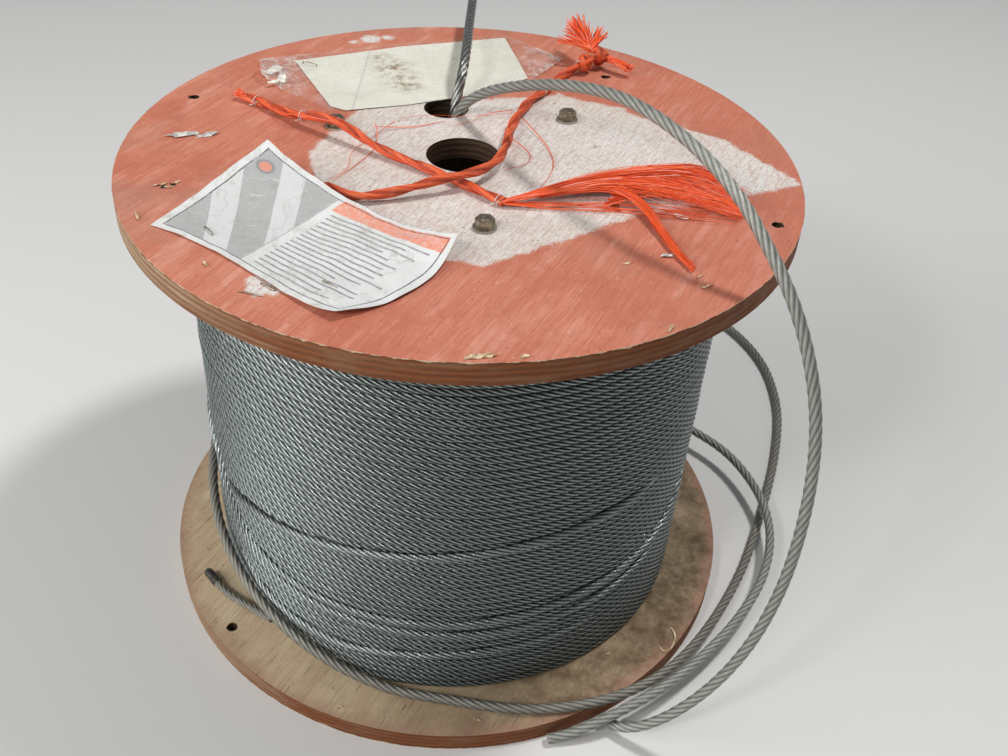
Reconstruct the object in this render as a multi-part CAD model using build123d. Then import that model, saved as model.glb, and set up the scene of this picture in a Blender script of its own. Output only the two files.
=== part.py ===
from build123d import *
from math import cos, radians, sin, tan
import os

os.makedirs("parts", exist_ok=True)

# Plywood flanges
flange_diameter = 420
flange_thickness = 14
arbor_bore = 46
traverse = 296                    # clear width between the flanges

# Barrel tube that the rope is wound on
barrel_diameter = 203
barrel_wall = 8
barrel_groove_depth = 4           # each flange has a groove that the tube stands in
groove_clearance = 0.3

# Tie bolts inside the barrel: carriage bolts from below, with a washer and a nut on top
bolt_count = 3
first_bolt_angle = -79            # degrees from +X, seen from above
bolt_wall_gap = 2.5               # from a bolt to the barrel's inside
bolt_diameter = 6
bolt_hole_diameter = 7
bolt_neck = 6                     # square neck that bites into the wood
bolt_neck_length = 4
bolt_head_diameter = 14
bolt_head_height = 3.3
bolt_head_sink = 0.3              # the heads are pulled in a little deeper than flush
bolt_end_stand = 0.6              # how far a bolt's end stands out of its nut
nut_across_flats = 10
nut_height = 5
nut_bore_clearance = 0.2
washer_diameter = 14
washer_thickness = 1.4
washer_bore = 6.6

# Hole for the rope's inner end, and nail holes as (distance from the rim, degrees from +X)
exit_hole_diameter = 30
exit_hole_place = (-14.5, 65)
small_hole_diameter = 6
top_small_holes = [(18.6, 161.9), (14.2, -19), (47.4, 54.1), (103.9, -29.9)]
bottom_small_holes = [(12.8, -137.8)]

# Rope winding
winding_diameter = 348
rope_diameter = 5.6
turn_valley = 2.2                 # depth between two turns
winding_sides = 28                # flat sides, which keep the many turns light
winding_clearance = 0.3
end_rings = 2                     # outer layers that show as rings on the winding's ends
ring_depth = 0.9

# Loose rope and twine
loose_rope_diameter = 7
twine_diameter = 6
cord_sides = 6                    # sides of a cord's section, whose corners lie on its diameter
arc_share = 0.45                  # part of its shorter run that an arc of a cord may use

# Tag lying on the top flange, and the pouch of papers behind the exit hole
sheet_clearance = 0.3
tag_thickness = 0.4
tag_outline = [(-113, -31), (-168.8, -99.8), (-110.5, -135.1), (-73.5, -166.3),
               (-54.6, -174.9), (-14.6, -146.6), (-10, -124.2), (1.9, -97.4), (-75, -74)]
pouch_corners = [(-150.2, 126), (-0.9, 190), (41.5, 130), (1, 85.5), (-89, 49.5)]
pouch_thickness = 1.2
pouch_pocket = 0.6
pouch_seam = 6
slip_thickness = 0.3
slip_margin = 2

# Twine's knot and its frayed fan of fibres
knot_width = 20
knot_height = 15
knot_taper = 14                   # degrees that the knot's sides lean in
knot_place = (87, 145)
fan_thickness = 2.5
fan_outline = [(34, -49), (55, -27), (79, -11), (111, -2), (134, 4), (152, 0),
               (168, -46), (165, -60), (130, -51), (118, -67), (130, -92), (134, -116),
               (128, -116), (117, -91), (106, -62), (76, -51), (54, -60), (34, -58)]

# Worked out from the values above
inside_top = flange_thickness + traverse
top_face = inside_top + flange_thickness
barrel_bore = barrel_diameter - 2 * barrel_wall
bolt_circle_radius = barrel_bore / 2 - bolt_wall_gap - bolt_diameter / 2
head_top = bolt_head_sink + bolt_head_height


def put(shape, name):
    """Write one node."""
    shape.label = name
    export_step(shape, f"parts/{name}.step")


def rod(diameter, bottom, top, x=0, y=0):
    """A round bar, or the cutter of a round hole, between two heights."""
    return Pos(x, y, bottom) * extrude(Circle(diameter / 2), top - bottom)


def around(radius, degrees):
    """A point at a radius and an angle about the drum's axis."""
    return radius * cos(radians(degrees)), radius * sin(radians(degrees))


def bolt_places():
    """Centres of the tie bolts."""
    step = 360 / bolt_count
    return [around(bolt_circle_radius, first_bolt_angle + index * step) for index in range(bolt_count)]


# Flanges: the groove that the barrel stands in faces the winding
def flange(base, groove_base, small_holes):
    top = base + flange_thickness
    disc = rod(flange_diameter, base, top)
    disc -= rod(arbor_bore, base - 1, top + 1)
    groove_top = groove_base + barrel_groove_depth
    groove = rod(barrel_diameter + 2 * groove_clearance, groove_base, groove_top)
    disc -= groove - rod(barrel_bore - 2 * groove_clearance, groove_base, groove_top)
    for x, y in bolt_places():
        disc -= rod(bolt_hole_diameter, base - 1, top + 1, x, y)
    for rim_distance, degrees in small_holes:
        x, y = around(flange_diameter / 2 - rim_distance, degrees)
        disc -= rod(small_hole_diameter, base - 1, top + 1, x, y)
    return disc


top_flange = flange(inside_top, inside_top, top_small_holes)
top_flange -= rod(exit_hole_diameter, inside_top - 1, top_face + 1, *exit_hole_place)
put(top_flange, "top_flange")

bottom_flange = flange(0, flange_thickness - barrel_groove_depth, bottom_small_holes)
for x, y in bolt_places():
    bottom_flange -= rod(bolt_head_diameter, -1, head_top, x, y)
    bottom_flange -= Pos(x, y, 0) * extrude(Rectangle(bolt_neck, bolt_neck), head_top + bolt_neck_length)
put(bottom_flange, "bottom_flange")

# Barrel
barrel_bottom = flange_thickness - barrel_groove_depth
barrel_top = inside_top + barrel_groove_depth
barrel = rod(barrel_diameter, barrel_bottom, barrel_top) - rod(barrel_bore, barrel_bottom, barrel_top)
put(barrel, "barrel_tube")


# Tie bolts, washers and nuts
def carriage_bolt(end_height):
    head = bolt_head_diameter / 2
    shank = bolt_diameter / 2
    with BuildPart() as bolt:
        with BuildSketch(Plane.XZ):
            with BuildLine():
                Polyline((0, bolt_head_sink), (head - bolt_head_height, bolt_head_sink), (head, head_top),
                         (shank, head_top), (shank, end_height - bolt_end_stand),
                         (shank - bolt_end_stand, end_height), (0, end_height), close=True)
            make_face()
        revolve(axis=Axis.Z)
    return bolt.part + Pos(0, 0, head_top) * extrude(Rectangle(bolt_neck, bolt_neck), bolt_neck_length)


def hexagon_nut():
    corner_slope = tan(radians(30))
    body = extrude(RegularPolygon(nut_across_flats / 2, 6, major_radius=False), nut_height)
    corner = nut_across_flats / 2 / cos(radians(30))
    cone_height = nut_height + (corner - nut_across_flats / 2) * corner_slope
    body &= Cone(corner + cone_height / corner_slope, corner, cone_height,
                 align=(Align.CENTER, Align.CENTER, Align.MIN))
    return body - rod(bolt_diameter + nut_bore_clearance, -1, nut_height + 1)


nut_top = top_face + washer_thickness + nut_height
for index, (x, y) in enumerate(bolt_places(), start=1):
    put(Pos(x, y, 0) * carriage_bolt(nut_top + bolt_end_stand), f"tie_bolt_{index}")
    put(rod(washer_diameter, top_face, top_face + washer_thickness, x, y)
        - rod(washer_bore, top_face - 1, top_face + washer_thickness + 1, x, y), f"washer_{index}")
    put(Pos(x, y, top_face + washer_thickness) * hexagon_nut(), f"nut_{index}")


# Winding: a solid with its bore, a ridge for each turn, and the outer layers' rings on both ends
def stacked(profile):
    sections = [Pos(0, 0, height) * RegularPolygon(radius, winding_sides) for height, radius in profile]
    return loft(sections, ruled=True)


winding_bottom = flange_thickness + winding_clearance
winding_top = inside_top - winding_clearance
crest = winding_diameter / 2
valley = crest - turn_valley
turn_count = int((winding_top - winding_bottom) / rope_diameter)
turn_pitch = (winding_top - winding_bottom) / turn_count

turn_profile = [(winding_bottom, valley)]
for turn in range(turn_count):
    turn_profile.append((winding_bottom + (turn + 0.5) * turn_pitch, crest))
    turn_profile.append((winding_bottom + (turn + 1) * turn_pitch, valley))

hollows = rod(barrel_diameter + 2 * winding_clearance, winding_bottom - 1, winding_top + 1)
for end, inward in ((winding_bottom, 1), (winding_top, -1)):
    for layer in range(end_rings):
        middle = crest - (layer + 1) * rope_diameter
        tip = (end + inward * ring_depth, middle)
        hollows += stacked([tip, (end, middle + ring_depth)]) - stacked([tip, (end, middle - ring_depth)])
put(stacked(turn_profile) - hollows, "rope_winding")


# Loose rope and twine: straight runs joined by tangent arcs, along points chosen by hand
def cord(name, diameter, points):
    corners = [Vector(*point) for point in points]
    arc_radii = []
    for before, corner, after in zip(corners, corners[1:], corners[2:]):
        first_run = corner - before
        next_run = after - corner
        half_turn = radians(first_run.get_angle(next_run)) / 2
        arc_radii.append(arc_share * min(first_run.length, next_run.length) / tan(half_turn))
    path = FilletPolyline(*points, radius=arc_radii)
    section = RegularPolygon(diameter / 2, cord_sides)
    tube = sweep(Plane(origin=path @ 0, z_dir=path % 0) * section, path=path)
    print(name, "length", round(path.length), "radii", [round(radius) for radius in arc_radii])
    print(name, "volume", round(tube.volume), "section times length", round(section.area * path.length))
    put(tube, name)


# Loose end from the exit hole, over the top flange's rim and down to the floor
cord("rope_over_rim", loose_rope_diameter, [
    (-13.5, 57, 292), (-11, 59, 307), (-7.8, 60, 320.5), (-0.5, 56, 334.5), (14, 41.5, 349),
    (34, 18, 364), (58, -11, 379), (84, -42, 389), (106, -69, 389.5), (128, -96, 383),
    (146.5, -117.5, 371), (162, -136, 353), (176, -152.5, 333), (187.5, -166, 308), (196, -177, 279),
    (201.5, -184, 243), (204, -188, 197), (202, -191, 152), (193.5, -194.5, 108), (178, -197, 69),
    (158, -197.5, 37), (139.5, -195.5, 17), (125.5, -191.5, 7.5), (113.5, -184, 4.2)])

# Inner end from the exit hole, low over the pouch and past the back edge
cord("rope_inner_end", loose_rope_diameter, [
    (-11, 69.5, 292), (-10.5, 70, 307), (-9.2, 72.1, 320.5), (-6.8, 78, 334), (-4.5, 91, 343.5),
    (-4, 109, 347), (-4, 132, 345.5), (-4.5, 160, 343), (-4.5, 191, 341.5), (-4.3, 222, 342),
    (-4.5, 250, 342.5)])

# Lower loose turn: off the winding, over the bottom flange's rim, round behind the drum and back
cord("loose_turn_low", loose_rope_diameter, [
    (-152.2, 95.1, 104), (-174.5, 50, 92), (-181.4, -6.3, 78), (-170.6, -62.1, 64), (-144.9, -109.2, 50),
    (-111.7, -143, 38), (-73.8, -165.8, 27), (-37.7, -177.3, 19.5), (-17, -181.5, 17.7), (8, -184, 17.7),
    (34, -187.5, 17.7), (60, -188.5, 17.7), (86, -185.5, 17.7), (112, -179, 18), (136.5, -168, 18.3),
    (158, -152.5, 17.5), (178, -131, 15), (198, -102, 11.5), (217, -69, 7.5), (234, -35, 4.5),
    (248, 1, 3.7), (262, 38, 3.7), (281, 95, 3.7), (296, 165, 3.7), (290, 240, 3.7), (250, 306, 3.7),
    (185, 352, 3.7), (105, 366, 3.7), (30, 343, 3.7), (-37, 290, 5), (-93, 230, 14), (-140, 168, 21),
    (-166, 108, 26), (-179.3, 34, 30)])

# Upper loose turn: off the back of the winding, over the lower turn, to the rim in front
cord("loose_turn_high", loose_rope_diameter, [
    (-43.1, 172.8, 52), (6.3, 179.7, 42), (55.9, 172.3, 33), (93, 164.5, 26), (137, 148, 21.5),
    (177, 126, 19), (208, 102.5, 18), (232, 79, 18), (248.5, 45, 18), (256, 9, 18), (253, -27, 17.5),
    (241, -62, 17), (222.5, -93, 17), (200, -122, 17.5), (174, -149.5, 18), (149, -170.5, 18.5),
    (125.5, -185.5, 18), (108, -193, 13), (93, -197.5, 6.5), (77.5, -200.5, 3.8)])

# The winding's own outer end, lying on the bottom flange
cord("rope_tail", rope_diameter, [
    (-173, -86.5, 17), (-160.5, -101, 17), (-146.5, -112, 17), (-131, -124, 17), (-113.5, -137.5, 17)])

# Twine: one length ends in the fan of fibres, the other runs from the knot to the tag
cord("twine_left", twine_diameter, [
    (-149.6, 58.6, 327.2), (-138, 54, 327.6), (-122, 43.5, 330), (-106.8, 33.5, 333), (-90, 23.5, 336.8),
    (-73, 13.5, 337.2), (-58, 4.5, 335), (-46, -1, 332.5), (-35.5, -7.5, 330.5), (-24.5, -15.8, 328.6),
    (-11.8, -26.3, 327.5), (3, -36, 327.3), (16.4, -44.8, 327.2), (28, -53.5, 327.2)])
cord("twine_right", twine_diameter, [
    (79.5, 137.5, 330.5), (71.5, 129.5, 328.5), (61.5, 117, 327.4), (53, 101, 327.2), (44, 84.5, 327.3),
    (37, 65, 328.5), (32.5, 43, 331), (29.3, 19, 334), (27, -3, 336.5), (22.5, -20, 338),
    (14.5, -32.5, 338.5), (2.5, -41, 338.5), (-12, -48, 336.5), (-29, -56, 334), (-46.1, -62, 332),
    (-58.5, -63.5, 330), (-69, -60, 328.3), (-77, -52.5, 327.4)])


# Tag, pouch with its slip of paper, and the twine's knot and fan
def sheet(corners, base, thickness, inset=0):
    face = make_face(Polyline(*corners, close=True))
    if inset:
        face = offset(face, -inset)
    return Pos(0, 0, base) * extrude(face, thickness)


sheet_base = top_face + sheet_clearance
put(sheet(tag_outline, sheet_base, tag_thickness), "paper_tag")

pocket_base = sheet_base + (pouch_thickness - pouch_pocket) / 2
slip_base = sheet_base + (pouch_thickness - slip_thickness) / 2
put(sheet(pouch_corners, sheet_base, pouch_thickness)
    - sheet(pouch_corners, pocket_base, pouch_pocket, pouch_seam), "clear_pouch")
put(sheet(pouch_corners, slip_base, slip_thickness, pouch_seam + slip_margin), "packing_slip")

put(Pos(*knot_place, sheet_base) * extrude(RegularPolygon(knot_width / 2, cord_sides), knot_height,
                                           taper=knot_taper), "twine_knot")
put(sheet(fan_outline, sheet_base, fan_thickness), "twine_fan")
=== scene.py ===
import math
import random
from functools import partial, reduce

import bpy
import numpy as np
from mathutils import Matrix, Vector, noise as terrain


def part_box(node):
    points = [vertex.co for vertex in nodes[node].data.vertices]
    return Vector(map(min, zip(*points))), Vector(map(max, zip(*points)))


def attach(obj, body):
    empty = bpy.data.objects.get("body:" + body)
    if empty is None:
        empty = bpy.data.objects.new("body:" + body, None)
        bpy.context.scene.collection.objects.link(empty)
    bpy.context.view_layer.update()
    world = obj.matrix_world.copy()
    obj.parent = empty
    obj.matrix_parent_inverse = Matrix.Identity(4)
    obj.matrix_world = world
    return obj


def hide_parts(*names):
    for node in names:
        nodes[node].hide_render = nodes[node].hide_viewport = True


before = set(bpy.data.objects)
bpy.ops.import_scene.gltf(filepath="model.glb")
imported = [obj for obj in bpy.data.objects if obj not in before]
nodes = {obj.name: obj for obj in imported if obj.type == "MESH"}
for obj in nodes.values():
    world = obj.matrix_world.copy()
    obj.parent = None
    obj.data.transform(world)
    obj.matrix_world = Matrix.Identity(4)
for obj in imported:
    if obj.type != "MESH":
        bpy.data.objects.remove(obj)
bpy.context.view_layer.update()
fixed = random.Random(7)
mm = 0.001
anyTurn = 6.28    # the most that a random angle can be, in radians
tubeStep = 1.6 * mm    # from ring to ring of a rope
curveSteps = 14
curveOrder = 3
print("frame loaded")


# Stage: pale floor, soft light and the photograph's camera
stage = {
    "floorSize": 6.0,
    "floorPlace": (0, 0, -0.0005),
    "floorRoughness": 0.85,
    "floorColour": (0.70, 0.69, 0.67, 1),
    "worldColour": (0.93, 0.96, 1.0, 1),
    "worldStrength": 0.23,
    "keyPlace": (0.95, 0.35, 2.45),
    "keySize": 0.3,
    "keyPower": 33,
    "fillPlace": (-1.9, -1.0, 1.05),
    "fillSize": 1.4,
    "fillPower": 36,
    "sparkPlace": (-1.05, -1.5, 1.75),
    "sparkSize": 0.3,
    "sparkPower": 13,
    "target": (0, 0, 0.16),
}
camera = {
    "place": (0.02138, -0.61362, 0.64135),
    "right": (0.99827, 0.03685, 0.04590),
    "up": (-0.05887, 0.62498, 0.77842),
    "lens": 38.783,
    "shift": (0.01971, -0.00241),
    "sensor": 36,
    "nearest": 0.02,
}


def deselectAll():
    if bpy.context.object and bpy.context.object.mode != "OBJECT":
        bpy.ops.object.mode_set(mode="OBJECT")
    bpy.ops.object.select_all(action="DESELECT")


def aimed(obj, place):
    obj.location = place
    obj.rotation_euler = (Vector(stage["target"]) - Vector(place)).to_track_quat("-Z", "Y").to_euler()


def softBox(name, place, size, power):
    deselectAll()
    bpy.ops.object.light_add(type="AREA")
    lamp = bpy.context.object
    lamp.name = name
    lamp.data.size = size
    lamp.data.energy = power
    aimed(lamp, place)


def buildStage():
    deselectAll()
    bpy.ops.mesh.primitive_plane_add(size=stage["floorSize"], location=stage["floorPlace"])
    floor = bpy.context.object
    floor.name = "floor"
    paint = bpy.data.materials.new("floor_pale")
    paint.use_nodes = True
    shader = paint.node_tree.nodes["Principled BSDF"]
    shader.inputs["Base Color"].default_value = stage["floorColour"]
    shader.inputs["Roughness"].default_value = stage["floorRoughness"]
    floor.data.materials.append(paint)
    world = bpy.data.worlds.new("soft_sky")
    world.use_nodes = True
    sky = world.node_tree.nodes["Background"]
    sky.inputs["Color"].default_value = stage["worldColour"]
    sky.inputs["Strength"].default_value = stage["worldStrength"]
    bpy.context.scene.world = world
    for name in ("key", "fill", "spark"):
        softBox(name, stage[name + "Place"], stage[name + "Size"], stage[name + "Power"])


def placeCamera():
    deselectAll()
    bpy.ops.object.camera_add()
    cam = bpy.context.object
    right = Vector(camera["right"]).normalized()
    up = Vector(camera["up"]).normalized()
    back = right.cross(up)
    turn = Matrix((right, up, back)).transposed()
    cam.rotation_euler = turn.to_euler()
    cam.location = camera["place"]
    cam.data.sensor_width = camera["sensor"]
    cam.data.lens = camera["lens"]
    cam.data.shift_x, cam.data.shift_y = camera["shift"]
    cam.data.clip_start = camera["nearest"]
    bpy.context.scene.camera = cam


bpy.context.scene.view_settings.view_transform = "Standard"
buildStage()
placeCamera()
print("stage and camera placed")


# Wire rope and twine, in millimetres: the ropes' routes are the part's, but for the tail's last points and
# the first point of loose_turn_low; the twine's are moved a little from the part's
cordRoutes = {
    "rope_over_rim": [
        (-13.5, 57, 292), (-11, 59, 307), (-7.8, 60, 320.5), (-0.5, 56, 334.5), (14, 41.5, 349),
        (34, 18, 364), (58, -11, 379), (84, -42, 389), (106, -69, 389.5), (128, -96, 383),
        (146.5, -117.5, 371), (162, -136, 353), (176, -152.5, 333), (187.5, -166, 308), (196, -177, 279),
        (201.5, -184, 243), (204, -188, 197), (202, -191, 152), (193.5, -194.5, 108), (178, -197, 69),
        (158, -197.5, 37), (139.5, -195.5, 17), (125.5, -191.5, 7.5), (113.5, -184, 4.2)],
    "rope_inner_end": [
        (-11, 69.5, 292), (-10.5, 70, 307), (-9.2, 72.1, 320.5), (-6.8, 78, 334), (-4.5, 91, 343.5),
        (-4, 109, 347), (-4, 132, 345.5), (-4.5, 160, 343), (-4.5, 191, 341.5), (-4.3, 222, 342),
        (-4.5, 250, 342.5)],
    "loose_turn_low": [
        (-150.7, 94.2, 104), (-174.5, 50, 92), (-181.4, -6.3, 78), (-170.6, -62.1, 64),
        (-144.9, -109.2, 50), (-111.7, -143, 38), (-73.8, -165.8, 27), (-37.7, -177.3, 19.5),
        (-17, -181.5, 17.7), (8, -184, 17.7), (34, -187.5, 17.7), (60, -188.5, 17.7), (86, -185.5, 17.7),
        (112, -179, 18), (136.5, -168, 18.3), (158, -152.5, 17.5), (178, -131, 15), (198, -102, 11.5),
        (217, -69, 7.5), (234, -35, 4.5), (248, 1, 3.7), (262, 38, 3.7), (281, 95, 3.7), (296, 165, 3.7),
        (290, 240, 3.7), (250, 306, 3.7), (185, 352, 3.7), (105, 366, 3.7), (30, 343, 3.7), (-37, 290, 5),
        (-93, 230, 14), (-140, 168, 21), (-166, 108, 26), (-179.3, 34, 30)],
    "loose_turn_high": [
        (-43.1, 172.8, 52), (6.3, 179.7, 42), (55.9, 172.3, 33), (93, 164.5, 26), (137, 148, 21.5),
        (177, 126, 19), (208, 102.5, 18), (232, 79, 18), (248.5, 45, 18), (256, 9, 18), (253, -27, 17.5),
        (241, -62, 17), (222.5, -93, 17), (200, -122, 17.5), (174, -149.5, 18), (149, -170.5, 18.5),
        (125.5, -185.5, 18), (108, -193, 13), (93, -197.5, 6.5), (77.5, -200.5, 3.8)],
    "rope_tail": [
        (-173, -86.5, 17), (-160.5, -101, 17), (-146.5, -111.5, 18), (-132, -121.5, 21.5),
        (-116.5, -133.5, 26.5)],
    "twine_left": [
        (-149.6, 58.6, 327.2), (-137.6, 52.3, 327.2), (-121.3, 39, 327.8), (-105.6, 27, 330.4),
        (-89.5, 19.5, 334.8), (-74.5, 9.5, 334.6), (-58.5, -2.5, 330), (-45.8, -10.5, 328),
        (-34, -18, 327.3), (-22, -25, 327.2), (-8.5, -34.5, 327.2), (5, -44.5, 327.2),
        (16.6, -53, 327.2), (26.8, -61.5, 327.2)],
    "twine_right": [
        (79.5, 139.5, 330.5), (72.3, 132, 328.5), (62.5, 119, 327.4), (53.5, 98.5, 327.2),
        (43.8, 82.5, 327.3), (35.3, 59.5, 327.6), (30.3, 35.5, 329), (27.8, 11.5, 331),
        (25.3, -10.5, 332.6), (20.3, -27, 333.6), (12, -38.5, 334.2), (0.5, -46, 334.4),
        (-12.5, -52, 333.8), (-29, -59.5, 331), (-45.5, -65, 329), (-58, -66.5, 328),
        (-68.5, -62.5, 327.4), (-77, -54, 327.2)],
}


def linked(name, data):
    obj = bpy.data.objects.new(name, data)
    bpy.context.collection.objects.link(obj)
    return obj


def routeCurve(name, points):
    path = bpy.data.curves.new(name, "CURVE")
    path.dimensions = "3D"
    path.resolution_u = curveSteps
    line = path.splines.new("NURBS")
    line.points.add(len(points) - 1)
    for knot, place in zip(line.points, points):
        knot.co = (*(mm * value for value in place), 1)
    line.order_u = curveOrder
    line.use_endpoint_u = True
    return linked(name, path)


def linePoints(curve):
    bpy.context.view_layer.update()
    bare = bpy.data.meshes.new_from_object(curve)
    places = np.array([vertex.co for vertex in bare.vertices])
    bpy.data.meshes.remove(bare)
    return places


def evenly(places, step):
    gaps = np.linalg.norm(np.diff(places, axis=0), axis=1)
    reached = np.concatenate(([0], np.cumsum(gaps)))
    wanted = np.linspace(0, reached[-1], max(2, round(reached[-1] / step)) + 1)
    return wanted, np.stack([np.interp(wanted, reached, places[:, axis]) for axis in range(3)], axis=1)


def carriedFrames(places):
    ahead = np.gradient(places, axis=0)
    ahead /= np.linalg.norm(ahead, axis=1)[:, None]
    side = np.zeros_like(ahead)
    last = np.cross(ahead[0], (0.3, 0.2, 1.0))
    for index, forward in enumerate(ahead):
        last = last - forward * last.dot(forward)
        last /= np.linalg.norm(last)
        side[index] = last
    return side, np.cross(ahead, side)


def gridCorners(grid):
    return np.stack((grid[:-1, :-1], grid[:-1, 1:], grid[1:, 1:], grid[1:, :-1]), axis=2)


def loopMesh(name, rings, uvs, closed=False, depth=None):
    # rings: loops of points, each joined to the next; a closed one joins its last to its first
    # depth: 0 on the crest of a strand and 1 between two of them, for the material, which paints shade by it
    count, around = rings.shape[:2]
    index = np.arange(count * around).reshape(count, around)
    if closed:
        index = np.vstack((index, index[:1]))
    index = np.hstack((index, index[:, :1]))
    faces = gridCorners(index).reshape(-1, 4).tolist()
    quads = len(faces)
    if not closed:
        faces += [index[0, -2::-1].tolist(), index[-1, :-1].tolist()]
    mesh = bpy.data.meshes.new(name)
    mesh.from_pydata(rings.reshape(-1, 3).tolist(), [], faces)
    values = np.zeros((len(mesh.loops), 2), dtype=np.float32)
    values[:quads * 4] = gridCorners(uvs).reshape(-1, 2)
    mesh.uv_layers.new(name="UVMap").data.foreach_set("uv", values.ravel())
    mesh.polygons.foreach_set("use_smooth", [True] * quads + [False] * (len(faces) - quads))
    if depth is not None:
        values = depth.ravel().astype(np.float32)
        mesh.attributes.new("depth", "FLOAT", "POINT").data.foreach_set("value", values)
    return linked(name, mesh)


def strandedTube(name, places, shape, step=tubeStep):
    # the columns of points follow the strands, so few of them give a clean twist
    reached, centres = evenly(places, step)
    side, up = carriedFrames(centres)
    perStrand = shape["perStrand"]
    column = np.arange(shape["strands"] * perStrand)
    hollow = 0.5 - 0.5 * np.cos(2 * np.pi * column / perStrand)
    reach = shape["diameter"] / 2 * (1 - shape["valley"] * hollow ** 1.5)
    turned = 2 * np.pi * (column[None] / len(column) + reached[:, None] / shape["lay"])
    uneven = 1 + shape["uneven"] * np.array([[fixed.uniform(-1, 1) for _ in column] for _ in reached])
    out = np.cos(turned)[..., None] * side[:, None] + np.sin(turned)[..., None] * up[:, None]
    rings = centres[:, None] + out * (reach * uneven)[..., None]
    u = np.repeat((reached / shape["diameter"])[:, None], len(column) + 1, axis=1)
    v = np.repeat((np.arange(len(column) + 1) / perStrand)[None], len(reached), axis=0)
    depth = np.repeat(hollow[None], len(reached), axis=0)
    return loopMesh(name, rings, np.stack((u, v), axis=-1), depth=depth), centres, reached[-1]


# Materials: each helper adds its nodes to the finish that was begun last
drawing = {}
tints = {
    "rust": (0.16, 0.085, 0.04), "zincRust": (0.17, 0.085, 0.045),
    # twine: streaks along the fibres; the palest are partly paler fibre and partly painted highlight
    "twine": [(0.36, (0.26, 0.018, 0.005)), (0.46, (0.66, 0.075, 0.016)),
              (0.57, (0.88, 0.155, 0.045)), (0.70, (0.96, 0.42, 0.27))],
    "twineHollowShade": (0.28, 0.020, 0.006), "twinePale": (0.95, 0.36, 0.20),
    # fibre: the palest colours are partly paler fibres and partly painted highlight
    "fibre": [(0.32, (0.50, 0.035, 0.008)), (0.48, (0.88, 0.105, 0.022)),
              (0.64, (0.96, 0.20, 0.060)), (0.78, (0.97, 0.50, 0.36))],
    "board": (0.30, 0.20, 0.12), "boardPale": (0.46, 0.34, 0.22), "boardSeam": (0.16, 0.10, 0.06),
    "thread": (0.58, 0.50, 0.46), "threadPale": (0.84, 0.80, 0.76),
    "tape": (0.018, 0.018, 0.018), "tapePale": (0.07, 0.062, 0.05),
    "scrap": (0.42, 0.40, 0.37), "scrapPale": (0.80, 0.78, 0.74),
    "flake": (0.44, 0.30, 0.16), "flakePale": (0.74, 0.60, 0.40),
    # fold colours: painted highlight on the film's folds
    "fold": (0.74, 0.72, 0.62), "foldHighlightPale": (0.93, 0.92, 0.84),
}


def node(kind, inputs=None, **settings):
    tree = drawing["tree"]
    made = tree.nodes.new("ShaderNode" + kind)
    for key, value in settings.items():
        setattr(made, key, value)
    for key, value in (inputs or {}).items():
        if isinstance(value, bpy.types.NodeSocket):
            tree.links.new(value, made.inputs[key])
        else:
            made.inputs[key].default_value = value
    return made


def newFinish(name, plain):
    finish = bpy.data.materials.new(name)
    finish.use_nodes = True
    drawing["tree"] = finish.node_tree
    shader = finish.node_tree.nodes["Principled BSDF"]
    for key, value in plain.items():
        shader.inputs[key].default_value = value
    return finish, shader


def noise(vector, scale, detail=4.0, roughness=0.5):
    inputs = {"Vector": vector, "Scale": scale, "Detail": detail, "Roughness": roughness}
    return node("TexNoise", inputs).outputs["Fac"]


def ramp(value, stops):
    # stops: places with a number or a colour each
    made = node("ValToRGB", {"Fac": value})
    bar = made.color_ramp
    while len(bar.elements) < len(stops):
        bar.elements.new(0.5)
    for element, (place, colour) in zip(bar.elements, stops):
        element.position = place
        element.color = (*colour, 1) if isinstance(colour, tuple) else (colour, colour, colour, 1)
    return made.outputs["Color"]


def sums(kind, first, second=0.0, third=0.0, clamp=False):
    return node("Math", {0: first, 1: second, 2: third}, operation=kind, use_clamp=clamp).outputs[0]


plus = partial(sums, "ADD")
minus = partial(sums, "SUBTRACT")
times = partial(sums, "MULTIPLY")
divided = partial(sums, "DIVIDE")
scaled = partial(sums, "MULTIPLY_ADD")
least = partial(sums, "MINIMUM")
greatest = partial(sums, "MAXIMUM")
isAbove = partial(sums, "GREATER_THAN")
isBelow = partial(sums, "LESS_THAN")
absolute = partial(sums, "ABSOLUTE")
sine = partial(sums, "SINE")


def opaque(tone):
    return (*tone, 1) if isinstance(tone, tuple) else tone


def mixed(share, first, second):
    inputs = {0: share, 6: opaque(first), 7: opaque(second)}
    return node("Mix", inputs, data_type="RGBA").outputs[2]


def over(tone, field, stops, colour):
    # a colour laid over a tone, as much as the ramp of a field says
    return mixed(ramp(field, stops), tone, colour)


def stretched(vector, scale):
    return node("Mapping", {"Vector": vector, "Scale": scale}).outputs[0]


def bumpy(height, strength, distance, under=None):
    inputs = {"Height": height, "Strength": strength, "Distance": distance}
    if under:
        inputs["Normal"] = under
    return node("Bump", inputs).outputs[0]


def coordinates(kind="Object"):
    return node("TexCoord").outputs[kind]


def plug(shader, **sockets):
    for key, socket in sockets.items():
        drawing["tree"].links.new(socket, shader.inputs[key.replace("_", " ")])


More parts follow.
